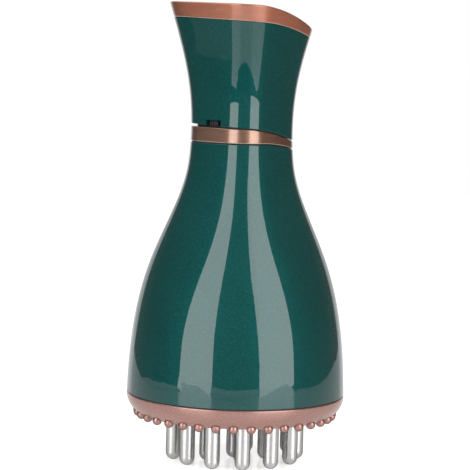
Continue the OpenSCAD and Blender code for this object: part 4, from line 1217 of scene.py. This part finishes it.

# %% [markdown]
# ## Boards round the table with a painted floor reflection
# Round the table lie boards that only the gloss sees. Their glow is a painted reflection of a dark, glossy
# floor: dark from above, and bright where it is seen along its surface. The left front one glows as bright
# as the soft box, a painted reflection of that lamp in the floor.
# The pale band round the foot and the patch on the left of the handle show where these boards end.

# %% Boards round the table that glow with a painted floor reflection
unseen = ("camera", "diffuse", "shadow")


def board(name, corners, from_above, along=1.0):
    """A painted floor reflection: a glow that is dark from above and bright where it is seen along its
    surface, as a glossy floor's reflection would be.
    """

    def shine(tree):
        facing = put(tree, "ShaderNodeLayerWeight", {"Blend": 0.5}).outputs["Facing"]
        return spread(tree, facing, 0.86, 0.92, from_above, along)

    stage_piece(name, corners, glow_finish(name, shine), unseen)


left_span, right_span = (-60, -24), (24.5, 62.5)
board_back, lamp_glow, dark_painted_reflection, grey_painted_reflection = 300, 4.3, 0.05, 0.3
front_board = [(-240, -540, 0), (246, -540, 0), (157, -360, 0), (15, front_reach, 0), (-152, -342, 0)]
board("front_board", front_board, dark_painted_reflection)
bearings = np.linspace(*left_span, 9)
sector = [from_front(b, 300, -0.5) for b in bearings] + [from_front(b, 740, -0.5) for b in bearings[::-1]]
# This board's glow is a painted reflection of the left soft box in the floor.
board("front_board_left", sector, dark_painted_reflection, lamp_glow)
band_start = [(left_edge, 112, 0), (-331, 112, 0), (-373, 60, 0)]
band_border = [(-395, -8, 0), (-418, -110, 0), (-400, -190, 0)]
patch_turn = (-378, -223, 0)
patch_border = [(-478, -139, 0), (-512, -92, 0), (-544, -32, 0), (-567, 29, 0), (-545, 20, 0)]
board("left_board", band_start + band_border + [patch_turn, left_turn], grey_painted_reflection)
board("left_board_far", band_border + [patch_turn] + patch_border, grey_painted_reflection, 0.0)
right_board = [right_turn, (393, -178, 0), (393, board_back, 0), (right_edge, board_back, 0)]
board("right_board", right_board, 0.08)
print("front board starts", -front_reach, "mm from the axis")

# %% [markdown]
# ## Soft boxes
# Two tall soft boxes stand left and right of the camera and leave the two long bands in the lacquer.
# Their cloth hangs below the frame in a point, and the right one leans inwards, which shows at the
# ends of the bands on the neck and the foot. A flap is drawn for each.

# %% Soft boxes
box_top, box_distance = 1150, 1000
left_low, right_low = -18, -35


def soft_box(name, first, last, low, power):
    """A tall lamp that spans two bearings, facing the brush."""
    width = 2 * box_distance * math.tan(math.radians(last - first) / 2)
    lamp = bpy.data.lights.new(name, "AREA")
    lamp.shape, lamp.size, lamp.size_y = "RECTANGLE", width * MM, (box_top - low) * MM
    lamp.energy = power
    made = bpy.data.objects.new(name, lamp)
    spot = Vector(from_front((first + last) / 2, box_distance, (low + box_top) / 2)) * MM
    facing = Vector((spot.x, spot.y, 0)).to_track_quat("Z", "Y").to_matrix().to_4x4()
    made.matrix_world = studio @ Matrix.Translation(spot) @ facing
    bpy.context.scene.collection.objects.link(made)
    made.visible_camera = False


def flap(name, first, last, outline, glow):
    """A cloth in a soft box's own plane, drawn as (share of its half width, height)."""
    half = box_distance * math.tan(math.radians(last - first) / 2)
    turn = Matrix.Rotation(math.radians((first + last) / 2), 3, "Z")
    corners = [tuple(turn @ Vector((share * half, -box_distance, z))) for share, z in outline]
    stage_piece(name, corners, glow_finish(name, glow), unseen)


soft_box("soft_box_left", *left_span, left_low, 10.2)
hanging = [(-1, left_low), (1, -64), (1, left_low)]
flap("soft_box_left_flap", *left_span, hanging, lamp_glow)
soft_box("soft_box_right", *right_span, right_low, 11.3)
leaning = [(1, right_low), (-1, -122), (-1.015, 60), (-1.38, 700), (-1.43, box_top), (-1, box_top)]
flap("soft_box_right_flap", *right_span, leaning + [(-1, right_low)], 4.2)
print("soft boxes reach from", right_low, "to", box_top, "mm")

# %% [markdown]
# ## The world
# A gentle white fill comes from all around. The camera, the gloss and the clear pieces see a white
# backdrop on top of it, which gives the photograph's blank background.

# %% World: white behind the table, gentle fill from all around
fill = 0.5
world = bpy.data.worlds.new("studio")
bpy.context.scene.world = world
world.use_nodes = True
tree = world.node_tree
tree.nodes.clear()
strength = calc(tree, "ADD", seen_rays(tree, 1 - fill, 0.3), fill)
sky = put(tree, "ShaderNodeBackground", {"Color": (1, 1, 1, 1), "Strength": strength})
put(tree, "ShaderNodeOutputWorld", {"Surface": sky.outputs[0]})
bpy.context.scene.view_settings.view_transform = "Standard"
print("fill", fill)
